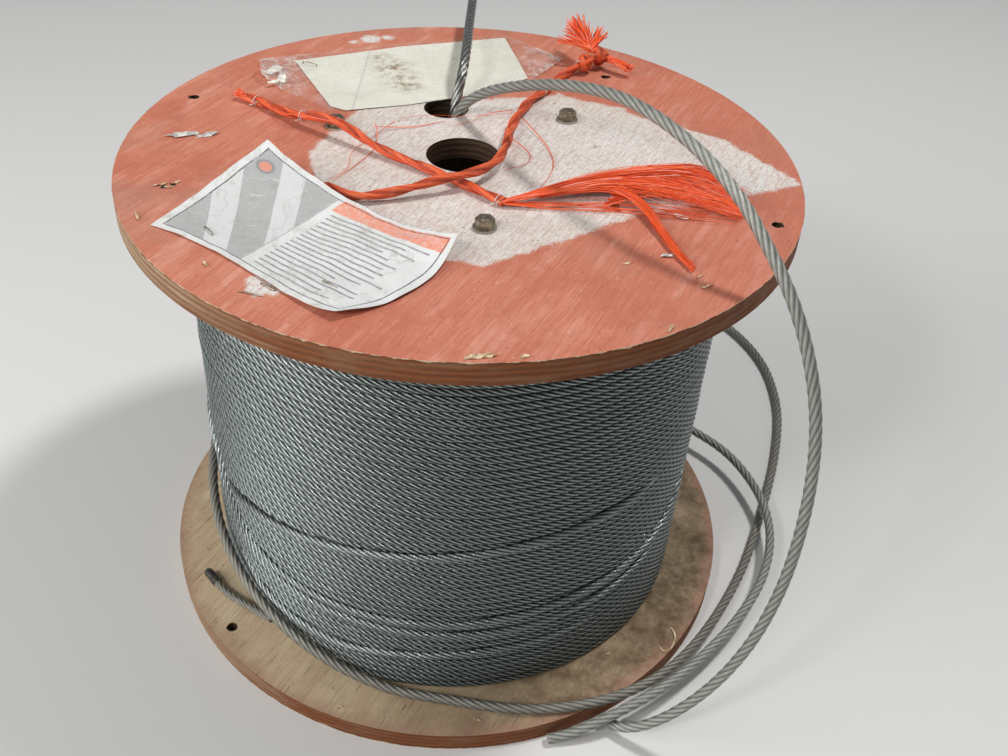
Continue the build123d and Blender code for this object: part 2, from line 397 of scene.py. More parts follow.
def makeSteel(name, bright, dark, rust, deep, paintedGlint, metal=0.85, gloss=0.22):
    # galvanised wire: dull zinc, fine wires along the strands, painted shade between them and a painted
    # glint on their crests
    finish, shader = newFinish(name, {"Metallic": metal})
    place = coordinates()
    uv = node("SeparateXYZ", {0: coordinates("UV")})
    depth = node("Attribute", attribute_name="depth").outputs["Fac"]
    angle = scaled(uv.outputs[0], 0.16, divided(uv.outputs[1], 6.0))
    wires = sine(times(angle, 2 * math.pi * 48))
    cloud = noise(place, 16, 4, 0.6)
    grime = noise(place, 240, 4, 0.65)
    fine = noise(place, 900, 3, 0.6)
    tone = mixed(ramp(cloud, [(0.30, 0.0), (0.70, 0.22)]), bright, dark)
    tone = over(tone, grime, [(0.42, 0.40), (0.60, 0.0)], dark)
    # painted glint: the crests of the strands are lightened towards a brighter copy of the steel, as if they
    # caught the light
    crest = times(ramp(depth, [(0.0, paintedGlint), (0.26, 0.0)]), ramp(fine, [(0.40, 0.45), (0.60, 1.0)]))
    tone = mixed(crest, tone, tuple(min(0.86, 1.75 * value) for value in bright))
    # painted shade: darker, nearly black, between the strands, in the seams between rows and in the grooves
    # over the ridge turns, by the depth attribute
    start, stop, most = deep
    tone = over(tone, depth, [(start, 0.0), (stop, most)], tuple(0.12 * value for value in dark))
    tone = over(tone, fine, [(0.42, 0.18), (0.62, 0.0)], dark)
    if rust:
        patch = ramp(noise(place, 26, 6, 0.7), [(0.60, 0.0), (0.74, rust)])
        tone = mixed(patch, tone, tints["rust"])
    rough = ramp(noise(place, 130, 4), [(0.3, gloss), (0.7, gloss + 0.16)])
    relief = bumpy(wires, 0.35, 0.00012)
    relief = bumpy(fine, 0.25, 0.0002, relief)
    plug(shader, Base_Color=tone, Roughness=rough, Normal=relief)
    return finish


def makeTwine():
    finish, shader = newFinish("twine_orange", {"Roughness": 0.42, "Specular IOR Level": 0.4})
    place = coordinates()
    depth = node("Attribute", attribute_name="depth").outputs["Fac"]
    strips = noise(stretched(coordinates("UV"), (0.32, 9, 1)), 1.0, 3, 0.6)
    threads = noise(stretched(coordinates("UV"), (0.5, 24, 1)), 1.0, 3, 0.6)
    fibres = scaled(strips, 0.65, times(threads, 0.35))
    # the palest streaks are partly paler fibre and partly painted highlight
    tone = ramp(fibres, tints["twine"])
    # painted shade: the twine is darkened between its strands
    tone = over(tone, depth, [(0.45, 0.0), (1.0, 0.75)], tints["twineHollowShade"])
    tone = over(tone, noise(place, 90, 3), [(0.52, 0.0), (0.75, 0.2)], tints["twinePale"])
    plug(shader, Base_Color=tone, Normal=bumpy(fibres, 0.9, 0.0011))
    return finish


# each steel's deep tuple sets its painted shade between the strands, and its glint number sets the painted
# glint on their crests
steels = {
    "rope_steel": {
        "bright": (0.37, 0.415, 0.405), "dark": (0.13, 0.145, 0.135), "rust": 0.0,
        "deep": (0.12, 0.62, 0.95), "paintedGlint": 0.85},
    "rope_steel_over": {
        "bright": (0.40, 0.44, 0.425), "dark": (0.15, 0.17, 0.165), "rust": 0.0,
        "deep": (0.25, 0.85, 0.9), "paintedGlint": 0.6},
    "rope_steel_loose": {
        "bright": (0.40, 0.405, 0.365), "dark": (0.26, 0.26, 0.23), "rust": 0.15,
        "deep": (0.4, 1.0, 0.72), "paintedGlint": 0.12, "metal": 0.45, "gloss": 0.42},
    "rope_steel_dark": {
        "bright": (0.44, 0.44, 0.41), "dark": (0.20, 0.20, 0.185), "rust": 0.1,
        "deep": (0.4, 0.95, 0.85), "paintedGlint": 0.3},
    "rope_steel_dusty": {
        "bright": (0.32, 0.31, 0.265), "dark": (0.19, 0.175, 0.145), "rust": 0.4,
        "deep": (0.4, 1.0, 0.78), "paintedGlint": 0.1, "metal": 0.45, "gloss": 0.42},
}
steelFinishes = [makeSteel(name, **look) for name, look in steels.items()]
ropeSteel, ridgeSteel, looseSteel, darkSteel, dustySteel = steelFinishes
twineFinish = makeTwine()

# Plywood: worn red stain outside, raw inside, layers on the rim and in the holes; places in millimetres
ply = {
    "grain": math.radians(65), "layers": 3.5, "patchBlur": 2.5 * mm,
    "stain": (0.63, 0.235, 0.150), "stainDeep": (0.48, 0.140, 0.082), "stainPale": (0.70, 0.33, 0.24),
    "streak": (0.36, 0.115, 0.070), "speck": (0.16, 0.09, 0.07), "dust": (0.78, 0.60, 0.48),
    "grime": (0.40, 0.20, 0.14),
    "white": (0.75, 0.72, 0.68), "whiteTan": (0.64, 0.57, 0.47), "whiteRose": (0.66, 0.56, 0.51),
    "grainRed": (0.50, 0.34, 0.29),
    "raw": (0.66, 0.510, 0.325), "rawDeep": (0.44, 0.310, 0.185), "rawPale": (0.72, 0.59, 0.41),
    "rawDirtAndShade": (0.12, 0.077, 0.042),
    "rimPale": (0.42, 0.30, 0.19), "rimDark": (0.24, 0.145, 0.08), "rimRed": (0.215, 0.068, 0.020),
    "rimRedDark": (0.145, 0.044, 0.014), "chip": (0.64, 0.50, 0.32), "hole": (0.030, 0.018, 0.013),
    # bore colours: the rim's ply layers at about half brightness, as painted shade inside the holes
    "bore": (0.085, 0.048, 0.026), "boreShadeDark": (0.040, 0.021, 0.012),
    "patches": [[(-96, -8), (-68, -106), (18, -127), (108, -62), (108, 82), (60, 96), (-70, 66)],
                [(60, -84), (212, -14), (170, 43), (60, 100)]],
    "patchBits": [((-95, -158), 8), ((-99, -152), 6), ((-88, -161), 5), ((-78, 176), 8), ((-66, 181), 5),
                  ((-90, 168), 4)],
    # holes painted as dark spots, which stand for the shade inside them: middle and radius
    "topHoles": [((-183.8, 59.2), 3.2), ((185.8, -63.6), 3.8), ((92.6, -56.7), 3.4), ((97.6, 132), 2.6),
                 ((-170.5, -61.5), 2.5), ((-166, -58), 2.2)],
    "lowHoles": [((-146.1, -132.5), 4.2)],
}


def flatPlace(place):
    parts = node("SeparateXYZ", {0: place})
    flat = node("CombineXYZ", {0: parts.outputs[0], 1: parts.outputs[1]}).outputs[0]
    return flat, parts.outputs[0], parts.outputs[1], parts.outputs[2]


def along(place, size, turn=0.0):
    # features as long, wide and high as size, along a direction turned from X
    inputs = {"Vector": place, "Rotation": (0, 0, turn), "Scale": size}
    return node("Mapping", inputs, vector_type="TEXTURE").outputs[0]


def vectorMath(kind, first, second=(0, 0, 0)):
    made = node("VectorMath", {0: first, 1: second}, operation=kind)
    return made.outputs["Value"]


def insideOutline(flat, corners):
    # metres inside the nearest edge of a convex outline whose corners run anticlockwise
    reaches = []
    for (x1, y1), (x2, y2) in zip(corners, corners[1:] + corners[:1]):
        length = math.hypot(x2 - x1, y2 - y1)
        inward = ((y1 - y2) / length, (x2 - x1) / length, 0)
        reach = vectorMath("DOT_PRODUCT", flat, inward)
        reaches.append(minus(reach, (inward[0] * x1 + inward[1] * y1) * mm))
    return reduce(least, reaches)


def insideDisc(flat, middle, radius):
    away = vectorMath("DISTANCE", flat, (middle[0] * mm, middle[1] * mm, 0))
    return minus(radius * mm, away)


def spotsMask(flat, spots, ragged):
    inside = reduce(greatest, [insideDisc(flat, middle, radius) for middle, radius in spots])
    return isAbove(plus(inside, ragged), 0.0)


def stainedFace(place, flat, across, holes, patched):
    # the red face: fine straight grain, darker streaks, specks and the worn white patch
    grain = noise(along(place, (0.024, 0.0010, 0.01), ply["grain"]), 1.0, 6, 0.68)
    wide = noise(along(place, (0.07, 0.009, 0.02), ply["grain"]), 1.0, 5, 0.65)
    cloud = noise(place, 20, 6, 0.68)
    tone = mixed(ramp(grain, [(0.38, 0.0), (0.62, 1.0)]), ply["stainDeep"], ply["stain"])
    tone = mixed(0.20, tone, ply["stain"])
    tone = over(tone, wide, [(0.50, 0.0), (0.70, 0.85)], ply["stainPale"])
    tone = over(tone, cloud, [(0.48, 0.0), (0.64, 0.75)], ply["stainDeep"])
    tone = over(tone, noise(place, 8, 6, 0.75), [(0.52, 0.0), (0.66, 0.6)], ply["grime"])
    tone = over(tone, across, [(0.09, 0.0), (0.21, 0.5)], ply["stainDeep"])
    dash = noise(along(place, (0.009, 0.0006, 0.01), ply["grain"]), 1.0, 3, 0.6)
    tone = over(tone, dash, [(0.61, 0.0), (0.69, 0.75)], ply["streak"])
    if patched:
        areas = [insideOutline(flat, corners) for corners in ply["patches"]]
        areas += [insideDisc(flat, middle, radius) for middle, radius in ply["patchBits"]]
        inside = reduce(greatest, areas)
        feather = scaled(noise(place, 90, 6, 0.75), 0.012, -0.006)
        feather = scaled(dash, 0.010, minus(feather, 0.005))
        cover = divided(plus(inside, feather), ply["patchBlur"], clamp=True)
        worn = ramp(noise(place, 34, 6, 0.8), [(0.51, 0.0), (0.67, 0.7)])
        gap = ramp(dash, [(0.51, 0.0), (0.62, 0.75)])
        blot = ramp(noise(place, 520, 3, 0.7), [(0.48, 0.0), (0.62, 0.5)])
        rubbed = noise(along(place, (0.030, 0.0045, 0.01), ply["grain"]), 1.0, 6, 0.75)
        chalk = mixed(ramp(cloud, [(0.42, 0.0), (0.66, 0.6)]), ply["white"], ply["whiteTan"])
        chalk = mixed(worn, chalk, ply["whiteRose"])
        chalk = over(chalk, rubbed, [(0.60, 0.0), (0.72, 0.55)], ply["stainPale"])
        chalk = mixed(gap, chalk, ply["grainRed"])
        chalk = mixed(blot, chalk, ply["grainRed"])
        tone = mixed(cover, tone, chalk)
    speck = ramp(noise(place, 330, 2, 0.5), [(0.70, 0.0), (0.74, 0.7)])
    tone = mixed(speck, tone, ply["speck"])
    powder = ramp(noise(place, 410, 3, 0.6), [(0.68, 0.0), (0.74, 0.7)])
    tone = mixed(powder, tone, ply["dust"])
    # painted shade: the holes are painted dark with ragged edges
    ragged = scaled(noise(place, 500, 3, 0.6), 0.005, -0.0030)
    return mixed(spotsMask(flat, holes, ragged), tone, ply["hole"]), grain


def rawFace(place, flat, across, away, holes):
    # bare inner face: brown, stained by the rope and by hands, with red worn in from the rim, and darker
    # towards +X as painted shade
    grain = noise(along(place, (0.05, 0.0014, 0.01), ply["grain"]), 1.0, 6, 0.65)
    wide = noise(along(place, (0.12, 0.014, 0.02), ply["grain"]), 1.0, 5, 0.65)
    tone = mixed(ramp(grain, [(0.34, 0.0), (0.62, 1.0)]), ply["rawDeep"], ply["raw"])
    tone = mixed(0.35, tone, ply["raw"])
    tone = over(tone, wide, [(0.50, 0.0), (0.70, 0.7)], ply["rawPale"])
    tone = over(tone, noise(place, 18, 6, 0.7), [(0.48, 0.0), (0.70, 0.75)], ply["rawDeep"])
    # painted shade: a dark mix, broken by noise, that grows towards +X as if the top flange shaded that
    # side; the dashes and specks below are dirt
    dirt = ramp(noise(place, 34, 6, 0.75), [(0.34, 0.45), (0.60, 1.0)])
    side = scaled(noise(place, 12, 4, 0.6), 0.08, minus(across, 0.04))
    dirt = times(dirt, ramp(plus(side, 0.2), [(0.10, 0.0), (0.18, 0.4), (0.30, 1.0)]))
    tone = mixed(dirt, tone, ply["rawDirtAndShade"])
    rubbed = scaled(noise(place, 40, 6, 0.75), 0.030, away)
    tone = over(tone, rubbed, [(0.214, 0.0), (0.228, 0.7)], ply["grime"])
    dash = noise(along(place, (0.02, 0.0008, 0.01), ply["grain"]), 1.0, 3, 0.55)
    tone = over(tone, dash, [(0.62, 0.0), (0.70, 0.7)], ply["rawDirtAndShade"])
    tone = over(tone, noise(place, 300, 3, 0.6), [(0.66, 0.0), (0.72, 0.7)], ply["rawDirtAndShade"])
    # painted shade: the holes are painted dark with ragged edges
    ragged = scaled(noise(place, 500, 3, 0.6), 0.004, -0.0024)
    return mixed(spotsMask(flat, holes, ragged), tone, ply["hole"]), grain


def makePly(name, base, stainedUp, holes):
    low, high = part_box(base)
    thickness = high.z - low.z
    finish, shader = newFinish(name, {"Specular IOR Level": 0.3})
    place = coordinates()
    flat, across, deep, up = flatPlace(place)
    away = vectorMath("DISTANCE", flat)
    red, redGrain = stainedFace(place, flat, across, holes, stainedUp)
    raw, rawGrain = rawFace(place, flat, across, away, holes)
    upper = isAbove(up, (low.z + high.z) / 2)
    face = mixed(upper, raw, red) if stainedUp else mixed(upper, red, raw)
    # layers of the rim and of the holes' walls, as noise along the way round and the height
    wayRound = times(sums("ARCTAN2", deep, across), high.x)
    wall = node("CombineXYZ", {0: wayRound, 1: up}).outputs[0]
    fibre = noise(along(wall, (0.009, 0.0007, 1)), 1.0, 5, 0.65)
    waver = noise(along(wall, (0.05, 0.01, 1)), 1.0, 3, 0.5)
    layer = scaled(minus(up, low.z), 1 / thickness, times(waver, 0.22))
    layer = sine(times(layer, 2 * math.pi * ply["layers"]))
    layer = ramp(scaled(layer, 0.34, fibre), [(0.28, 0.0), (0.72, 1.0)])
    pale = mixed(layer, ply["rimDark"], ply["rimPale"])
    redRim = mixed(layer, ply["rimRedDark"], ply["rimRed"])
    side = scaled(noise(along(wall, (0.05, 0.006, 1)), 1.0, 4, 0.6), 0.18, -0.09)
    side = plus(across, side)
    rim = mixed(ramp(scaled(side, 2.0, 0.5), [(0.12, 0.0), (0.34, 1.0)]), pale, redRim)
    rim = over(rim, fibre, [(0.54, 0.0), (0.70, 0.5)], ply["rimRedDark"])
    smear = noise(along(wall, (0.030, 0.006, 1)), 1.0, 5, 0.7)
    rim = over(rim, smear, [(0.48, 0.0), (0.66, 0.5)], ply["rimDark"])
    nearEdge = absolute(minus(up, high.z if stainedUp else low.z))
    chipped = noise(along(wall, (0.011, 0.004, 1)), 1.0, 4, 0.7)
    chipped = minus(chipped, times(nearEdge, 190.0))
    rim = over(rim, chipped, [(0.44, 0.0), (0.49, 0.9)], ply["chip"])
    onRim = isAbove(away, high.x - 0.2 * mm)
    tone = mixed(onRim, face, rim)
    # painted shade: the walls of the bore and the holes take the darkened bore colours
    facing = node("SeparateXYZ", {0: node("NewGeometry").outputs["True Normal"]}).outputs[2]
    upright = isBelow(absolute(facing), 0.5)
    holeWall = times(upright, minus(1.0, onRim))
    tone = mixed(holeWall, tone, mixed(layer, ply["boreShadeDark"], ply["bore"]))
    grain = mixed(upper, rawGrain, redGrain) if stainedUp else mixed(upper, redGrain, rawGrain)
    relief = bumpy(mixed(onRim, grain, layer), 0.5, 0.0005)
    relief = bumpy(noise(place, 900, 3, 0.6), 0.25, 0.0002, relief)
    rough = ramp(noise(place, 90, 3), [(0.3, 0.62), (0.7, 0.86)])
    plug(shader, Base_Color=tone, Roughness=rough, Normal=relief)
    return finish


def makeBoard():
    # spiral-wound brown board: one seam that climbs round the tube
    finish, shader = newFinish("barrel_brown_board", {"Roughness": 0.85})
    place = coordinates()
    _, across, deep, up = flatPlace(place)
    climb = scaled(sums("ARCTAN2", deep, across), 0.014, up)
    seam = sums("PINGPONG", climb, 0.044)
    fibre = noise(place, 160, 6, 0.7)
    tone = mixed(ramp(fibre, [(0.35, 0.0), (0.65, 1.0)]), tints["board"], tints["boardPale"])
    tone = mixed(isBelow(seam, 0.0006), tone, tints["boardSeam"])
    plug(shader, Base_Color=tone, Normal=bumpy(fibre, 0.4, 0.0004))
    return finish


def makeZinc(name, bright, dull, rust):
    finish, shader = newFinish(name, {"Metallic": 0.9})
    place = coordinates()
    cloud = noise(place, 190, 5, 0.65)
    tone = mixed(ramp(cloud, [(0.38, 0.0), (0.62, 1.0)]), dull, bright)
    stain = ramp(noise(place, 420, 4, 0.7), [(0.50, 0.0), (0.66, rust)])
    tone = mixed(stain, tone, tints["zincRust"])
    rough = ramp(cloud, [(0.35, 0.52), (0.65, 0.30)])
    relief = bumpy(noise(place, 1500, 3), 0.3, 0.0001)
    plug(shader, Base_Color=tone, Roughness=rough, Normal=relief)
    return finish


topPly = makePly("ply_stained_top", "top_flange", True, ply["topHoles"])
lowPly = makePly("ply_raw_bottom", "bottom_flange", False, ply["lowHoles"])
boardFinish = makeBoard()
nutZinc = makeZinc("zinc_nut", bright=(0.48, 0.42, 0.32), dull=(0.20, 0.155, 0.11), rust=0.7)
washerZinc = makeZinc("zinc_washer", bright=(0.60, 0.57, 0.50), dull=(0.34, 0.31, 0.26), rust=0.4)
boltZinc = makeZinc("zinc_bolt", bright=(0.42, 0.38, 0.31), dull=(0.18, 0.15, 0.12), rust=0.8)


def coatNodes():
    # the CAD pieces keep their shape and get their finish here
    coats = {"top_flange": topPly, "bottom_flange": lowPly, "barrel_tube": boardFinish}
    for index in (1, 2, 3):
        coats[f"tie_bolt_{index}"] = boltZinc
        coats[f"washer_{index}"] = washerZinc
        coats[f"nut_{index}"] = nutZinc
    for name, finish in coats.items():
        nodes[name].data.materials.clear()
        nodes[name].data.materials.append(finish)


coatNodes()
print("wood and zinc finished")


def dress(obj, finish, slotName, *replaced):
    obj.data.materials.clear()
    obj.data.materials.append(finish)
    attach(obj, "root")
    if replaced:
        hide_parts(*replaced)


# Loose wire rope and twine
looseRope = {"diameter": 7 * mm, "strands": 6, "lay": 46 * mm, "valley": 0.18, "perStrand": 4,
             "uneven": 0.0}
windingRope = {"diameter": 5.6 * mm, "strands": 6, "lay": 34.9 * mm, "valley": 0.24, "perStrand": 4,
               "uneven": 0.0}
twineShape = {"diameter": 6 * mm, "strands": 2, "lay": 58 * mm, "valley": 0.34, "perStrand": 12,
              "uneven": 0.05}
cordFacts = {
    "rope_over_rim": (looseRope, looseSteel, "wire_rope", "bare"),
    "rope_inner_end": (looseRope, darkSteel, "wire_rope", "bare"),
    "loose_turn_low": (looseRope, dustySteel, "wire_rope", "object"),
    "loose_turn_high": (looseRope, looseSteel, "wire_rope", "bare"),
    "rope_tail": (windingRope, dustySteel, "wire_rope", "object"),
    "twine_left": (twineShape, twineFinish, "orange_twine", "knot"),
    "twine_right": (twineShape, twineFinish, "orange_twine", "object"),
}
cordLines = {}


def buildCords():
    for name, (shape, finish, slotName, farEnd) in cordFacts.items():
        guide = routeCurve(name + "_guide", cordRoutes[name])
        tube, centres, length = strandedTube(name + "_visual", linePoints(guide), shape)
        bpy.data.objects.remove(guide)
        dress(tube, finish, slotName, name)
        cordLines[name] = centres
        print(name, "is", round(length * 1000), "mm long")


buildCords()
print("cords built")


# The winding: rows of rope, in four rings that stand on each other
wound = {
    "outer": 174 * mm, "bore": 101.8 * mm, "rope": 5.6 * mm, "lay": 34.9 * mm, "valley": 0.32,
    "top": 309.7 * mm, "bottom": 14.3 * mm, "closeRows": 38, "closePitch": 5.5 * mm, "rows": 52,
    "strandsRound": 188, "perStrand": 4, "samples": 7, "arc": 1.4, "drift": 0.37,
    # seam: how much painted shade lies in the seams between rows
    "rowScatter": 0.14 * mm, "seam": 0.72, "liftHeight": 0.9 * mm, "liftFade": 16 * mm,
    "grooveHalf": 1.0 * mm, "grooveDepth": 2.2 * mm, "ridgeBelow": 2.7, "ridgeSunk": 1.0,
    "rings": 4, "inset": 0.3 * mm, "ridgeFade": (14, 12), "ridgeEnd": 4.2, "ridgeSteps": 60,
    "smoothings": 4,
}
# lines where a turn lies over the rows: degrees from +X and millimetres above the floor
ridgeLines = {
    "ridge_high": [(-156, 117), (-148, 121), (-138, 126), (-123, 133), (-106, 141), (-88, 148), (-70, 155),
                   (-53, 160), (-42, 162), (-34, 162)],
    "ridge_middle": [(-176, 168), (-166, 156), (-156, 142), (-149, 122), (-144, 99), (-137, 87), (-122, 83),
                     (-104, 82), (-86, 84), (-70, 89), (-50, 94), (-36, 97), (-27, 108), (-20, 122),
                     (-12, 134)],
    "ridge_beside": [(-166, 144), (-156, 128), (-148, 104), (-140, 84), (-130, 76), (-112, 73), (-90, 73),
                     (-68, 76), (-50, 81), (-36, 88), (-26, 99)],
    "ridge_low": [(-150, 66), (-140, 54), (-130, 46), (-114, 42), (-98, 49), (-80, 56), (-60, 59),
                  (-48, 59)],
}


def alongRidge(degrees, line, values):
    # values at a ridge's start, where it has come up, where it goes down again and at its end
    first, last = line[0, 0], line[-1, 0]
    fadeIn, fadeOut = wound["ridgeFade"]
    return np.interp(degrees, [first, first + fadeIn, last - fadeOut, last], values)


def ridgeLift(turned, height):
    # rows below a ridge stand a little proud of the ones above it
    degrees = (np.degrees(turned) + 180) % 360 - 180
    lift = np.zeros_like(height * turned)
    groove = np.zeros_like(lift)
    for line in ridgeLines.values():
        line = np.array(line, dtype=float)
        level = np.interp(degrees, line[:, 0], line[:, 1]) * mm
        ends = alongRidge(degrees, line, [0, 1, 1, 0])
        below = level - height
        lift += ends * np.where(below > 0, wound["liftHeight"] * np.exp(-below / wound["liftFade"]), 0)
        # the groove also goes to the material through depth, which paints it as a dark line of shade
        groove = np.maximum(groove, ends * np.exp(-(below / wound["grooveHalf"]) ** 2))
    return lift - wound["grooveDepth"] * groove, groove


def buildWinding():
    rows = wound["rows"]
    half = wound["rope"] / 2
    base = wound["outer"] - half - wound["inset"]
    closeEnd = wound["top"] - wound["closeRows"] * wound["closePitch"]
    lowPitch = (closeEnd - wound["bottom"]) / (rows - wound["closeRows"])
    pitches = [wound["closePitch"]] * wound["closeRows"] + [lowPitch] * (rows - wound["closeRows"])
    levels = wound["top"] - np.cumsum(pitches) + np.array(pitches) / 2
    columns = np.arange(wound["strandsRound"] * wound["perStrand"])
    hollow = 0.5 - 0.5 * np.cos(2 * np.pi * columns / wound["perStrand"])
    strandCount = columns / wound["perStrand"]
    reach = half * (1 - wound["valley"] * hollow ** 1.5)
    rise = np.linspace(wound["arc"], -wound["arc"], wound["samples"])
    stand = [fixed.uniform(-1, 1) * wound["rowScatter"] for _ in range(rows)]
    wobbles = [[(fixed.randint(2, 9), fixed.uniform(0, anyTurn), fixed.uniform(0.03, 0.12) * mm)
                for _ in range(3)] for _ in range(rows)]
    each = rows // wound["rings"]
    for part in range(wound["rings"]):
        loops = []
        for row in range(part * each, (part + 1) * each):
            turned = 2 * np.pi * (columns / len(columns) + wound["drift"] * row / wound["strandsRound"])
            wobble = sum(size * np.sin(waves * turned + start) for waves, start, size in wobbles[row])
            for angle in rise:
                theta = turned - angle / (2 * np.pi) * wound["lay"] / wound["outer"]
                height = levels[row] + wobble + reach * math.sin(angle)
                away = base + stand[row] + wobble + reach * math.cos(angle)
                lift, groove = ridgeLift(theta, height)
                height = np.clip(height, wound["bottom"], wound["top"])
                # depth tells the material where to paint shade: the seams between rows, the hollows between
                # strands and the grooves above the ridge turns
                seam = abs(angle / wound["arc"]) ** 4
                depth = np.maximum(np.maximum(wound["seam"] * seam, hollow ** 1.4), groove)
                loops.append((theta, away + lift, height, depth))
        for height in (loops[-1][2], loops[0][2]):
            loops.append((loops[0][0], np.full(len(columns), wound["bore"]),
                          np.full(len(columns), height.mean()), hollow))
        theta, away, height, depth = (np.stack([loop[k] for loop in loops], axis=1) for k in range(4))
        rings = np.stack((away * np.cos(theta), away * np.sin(theta), height), axis=-1)
        u = -theta * wound["outer"] / wound["rope"]
        u = np.vstack((u, u[:1] - 2 * np.pi * wound["outer"] / wound["rope"]))
        u = np.hstack((u, u[:, :1]))
        v = np.repeat(np.append(strandCount, wound["strandsRound"])[:, None], u.shape[1], axis=1)
        ring = loopMesh(f"winding_ring_{part + 1}", rings, np.stack((u, v), axis=-1), closed=True,
                        depth=depth)
        dress(ring, ropeSteel, "wire_rope", "rope_winding")


def buildRidges():
    for name, line in ridgeLines.items():
        line = np.array(line, dtype=float)
        fine = np.linspace(line[0, 0], line[-1, 0], wound["ridgeSteps"])
        level = np.interp(fine, line[:, 0], line[:, 1])
        for _ in range(wound["smoothings"]):
            level[1:-1] = (level[:-2] + 2 * level[1:-1] + level[2:]) / 4
        sunk = alongRidge(fine, line, [wound["ridgeEnd"], 0, 0, wound["ridgeEnd"]])
        away = wound["outer"] - (wound["ridgeSunk"] + sunk) * mm
        turned = np.radians(fine)
        places = np.stack((away * np.cos(turned), away * np.sin(turned), (level - wound["ridgeBelow"]) * mm),
                          axis=-1)
        turn, _, _ = strandedTube(name, places, windingRope)
        dress(turn, ridgeSteel, "wire_rope")


buildWinding()
buildRidges()
print("winding built")


# Paper tag: rows of points from its left end to its right end, each from the front edge to the back
tag = {
    "net": [[(-166.1, -104.4, 325.2), (-140.7, -68.6, 332), (-113.5, -35.5, 345)],
            [(-118.2, -132.9, 325.0), (-95.5, -99.4, 325.6), (-69.6, -70.6, 333.2)],
            [(-83.3, -161.5, 325.6), (-57.3, -124.1, 325.4), (-32.5, -91.6, 328.5)],
            [(-52.8, -182.0, 330), (-17.1, -153.3, 325.4), (2.9, -112.1, 334)]],
    "steps": (112, 72), "crease": 1.3 * mm, "thickness": 0.22 * mm, "rise": 0.25 * mm,
    "length": 140, "width": 92, "margin": 3.6, "line": 0.7, "divider": 53,
    "eyelet": (10.5, 77.5), "eyeletHole": 3.4, "eyeletDark": 5.0,
    "band": (57, 137, 77, 89.5), "rulePitch": 4.3, "ruleShare": 0.34,
    "paper": (0.73, 0.74, 0.72), "paperWorn": (0.58, 0.56, 0.51), "grey": (0.64, 0.645, 0.63),
    "greyBar": (0.42, 0.425, 0.41), "rule": (0.30, 0.30, 0.31), "orange": (0.80, 0.30, 0.20),
    "ink": (0.07, 0.07, 0.08), "ring": (0.42, 0.42, 0.42), "ringDark": (0.30, 0.29, 0.29),
    "woodSeen": (0.70, 0.30, 0.22), "dirt": (0.36, 0.29, 0.22), "foldShade": (0.45, 0.44, 0.42),
}


def throughPoints(values, share):
    # the curve through evenly spaced values, at a share of its way
    knots = np.linspace(0, 1, len(values))
    total = 0
    for index, value in enumerate(values):
        others = np.delete(knots, index)
        weight = np.prod([(share - other) / (knots[index] - other) for other in others], axis=0)
        total = total + weight[..., None] * np.asarray(value, dtype=float)
    return total


def rumple(spot, across, up, layer):
    return terrain.noise((spot[0] * across, spot[1] * up, layer))


def sheetMesh(name, grid, thickness):
    rows, columns = grid.shape[:2]
    index = np.arange(rows * columns).reshape(rows, columns)
    faces = np.stack((index[:-1, :-1], index[1:, :-1], index[1:, 1:], index[:-1, 1:]), axis=2)
    faces = faces.reshape(-1, 4)
    mesh = bpy.data.meshes.new(name)
    mesh.from_pydata(grid.reshape(-1, 3).tolist(), [], faces.tolist())
    rowShare, columnShare = np.meshgrid(np.linspace(0, 1, rows), np.linspace(0, 1, columns), indexing="ij")
    spots = np.stack((rowShare, columnShare), axis=2).reshape(-1, 2)[faces.ravel()].astype(np.float32)
    mesh.uv_layers.new(name="UVMap").data.foreach_set("uv", spots.ravel())
    obj = linked(name, mesh)
    deselectAll()
    obj.select_set(True)
    bpy.context.view_layer.objects.active = obj
    if obj.data.polygons[0].normal.z < 0:
        obj.data.flip_normals()
    wall = obj.modifiers.new("wall", "SOLIDIFY")
    wall.thickness = thickness
    wall.offset = 0
    bpy.ops.object.modifier_apply(modifier="wall")
    bpy.ops.object.shade_smooth_by_angle(angle=math.radians(50))
    return obj


def boxMask(across, up, corners, soft=0.3):
    # 1 inside a rectangle, given as its two ends across and its two ends up
    left, right, low, high = corners
    inside = reduce(least, [minus(across, left), minus(right, across), minus(up, low), minus(high, up)])
    return divided(inside, soft, clamp=True)


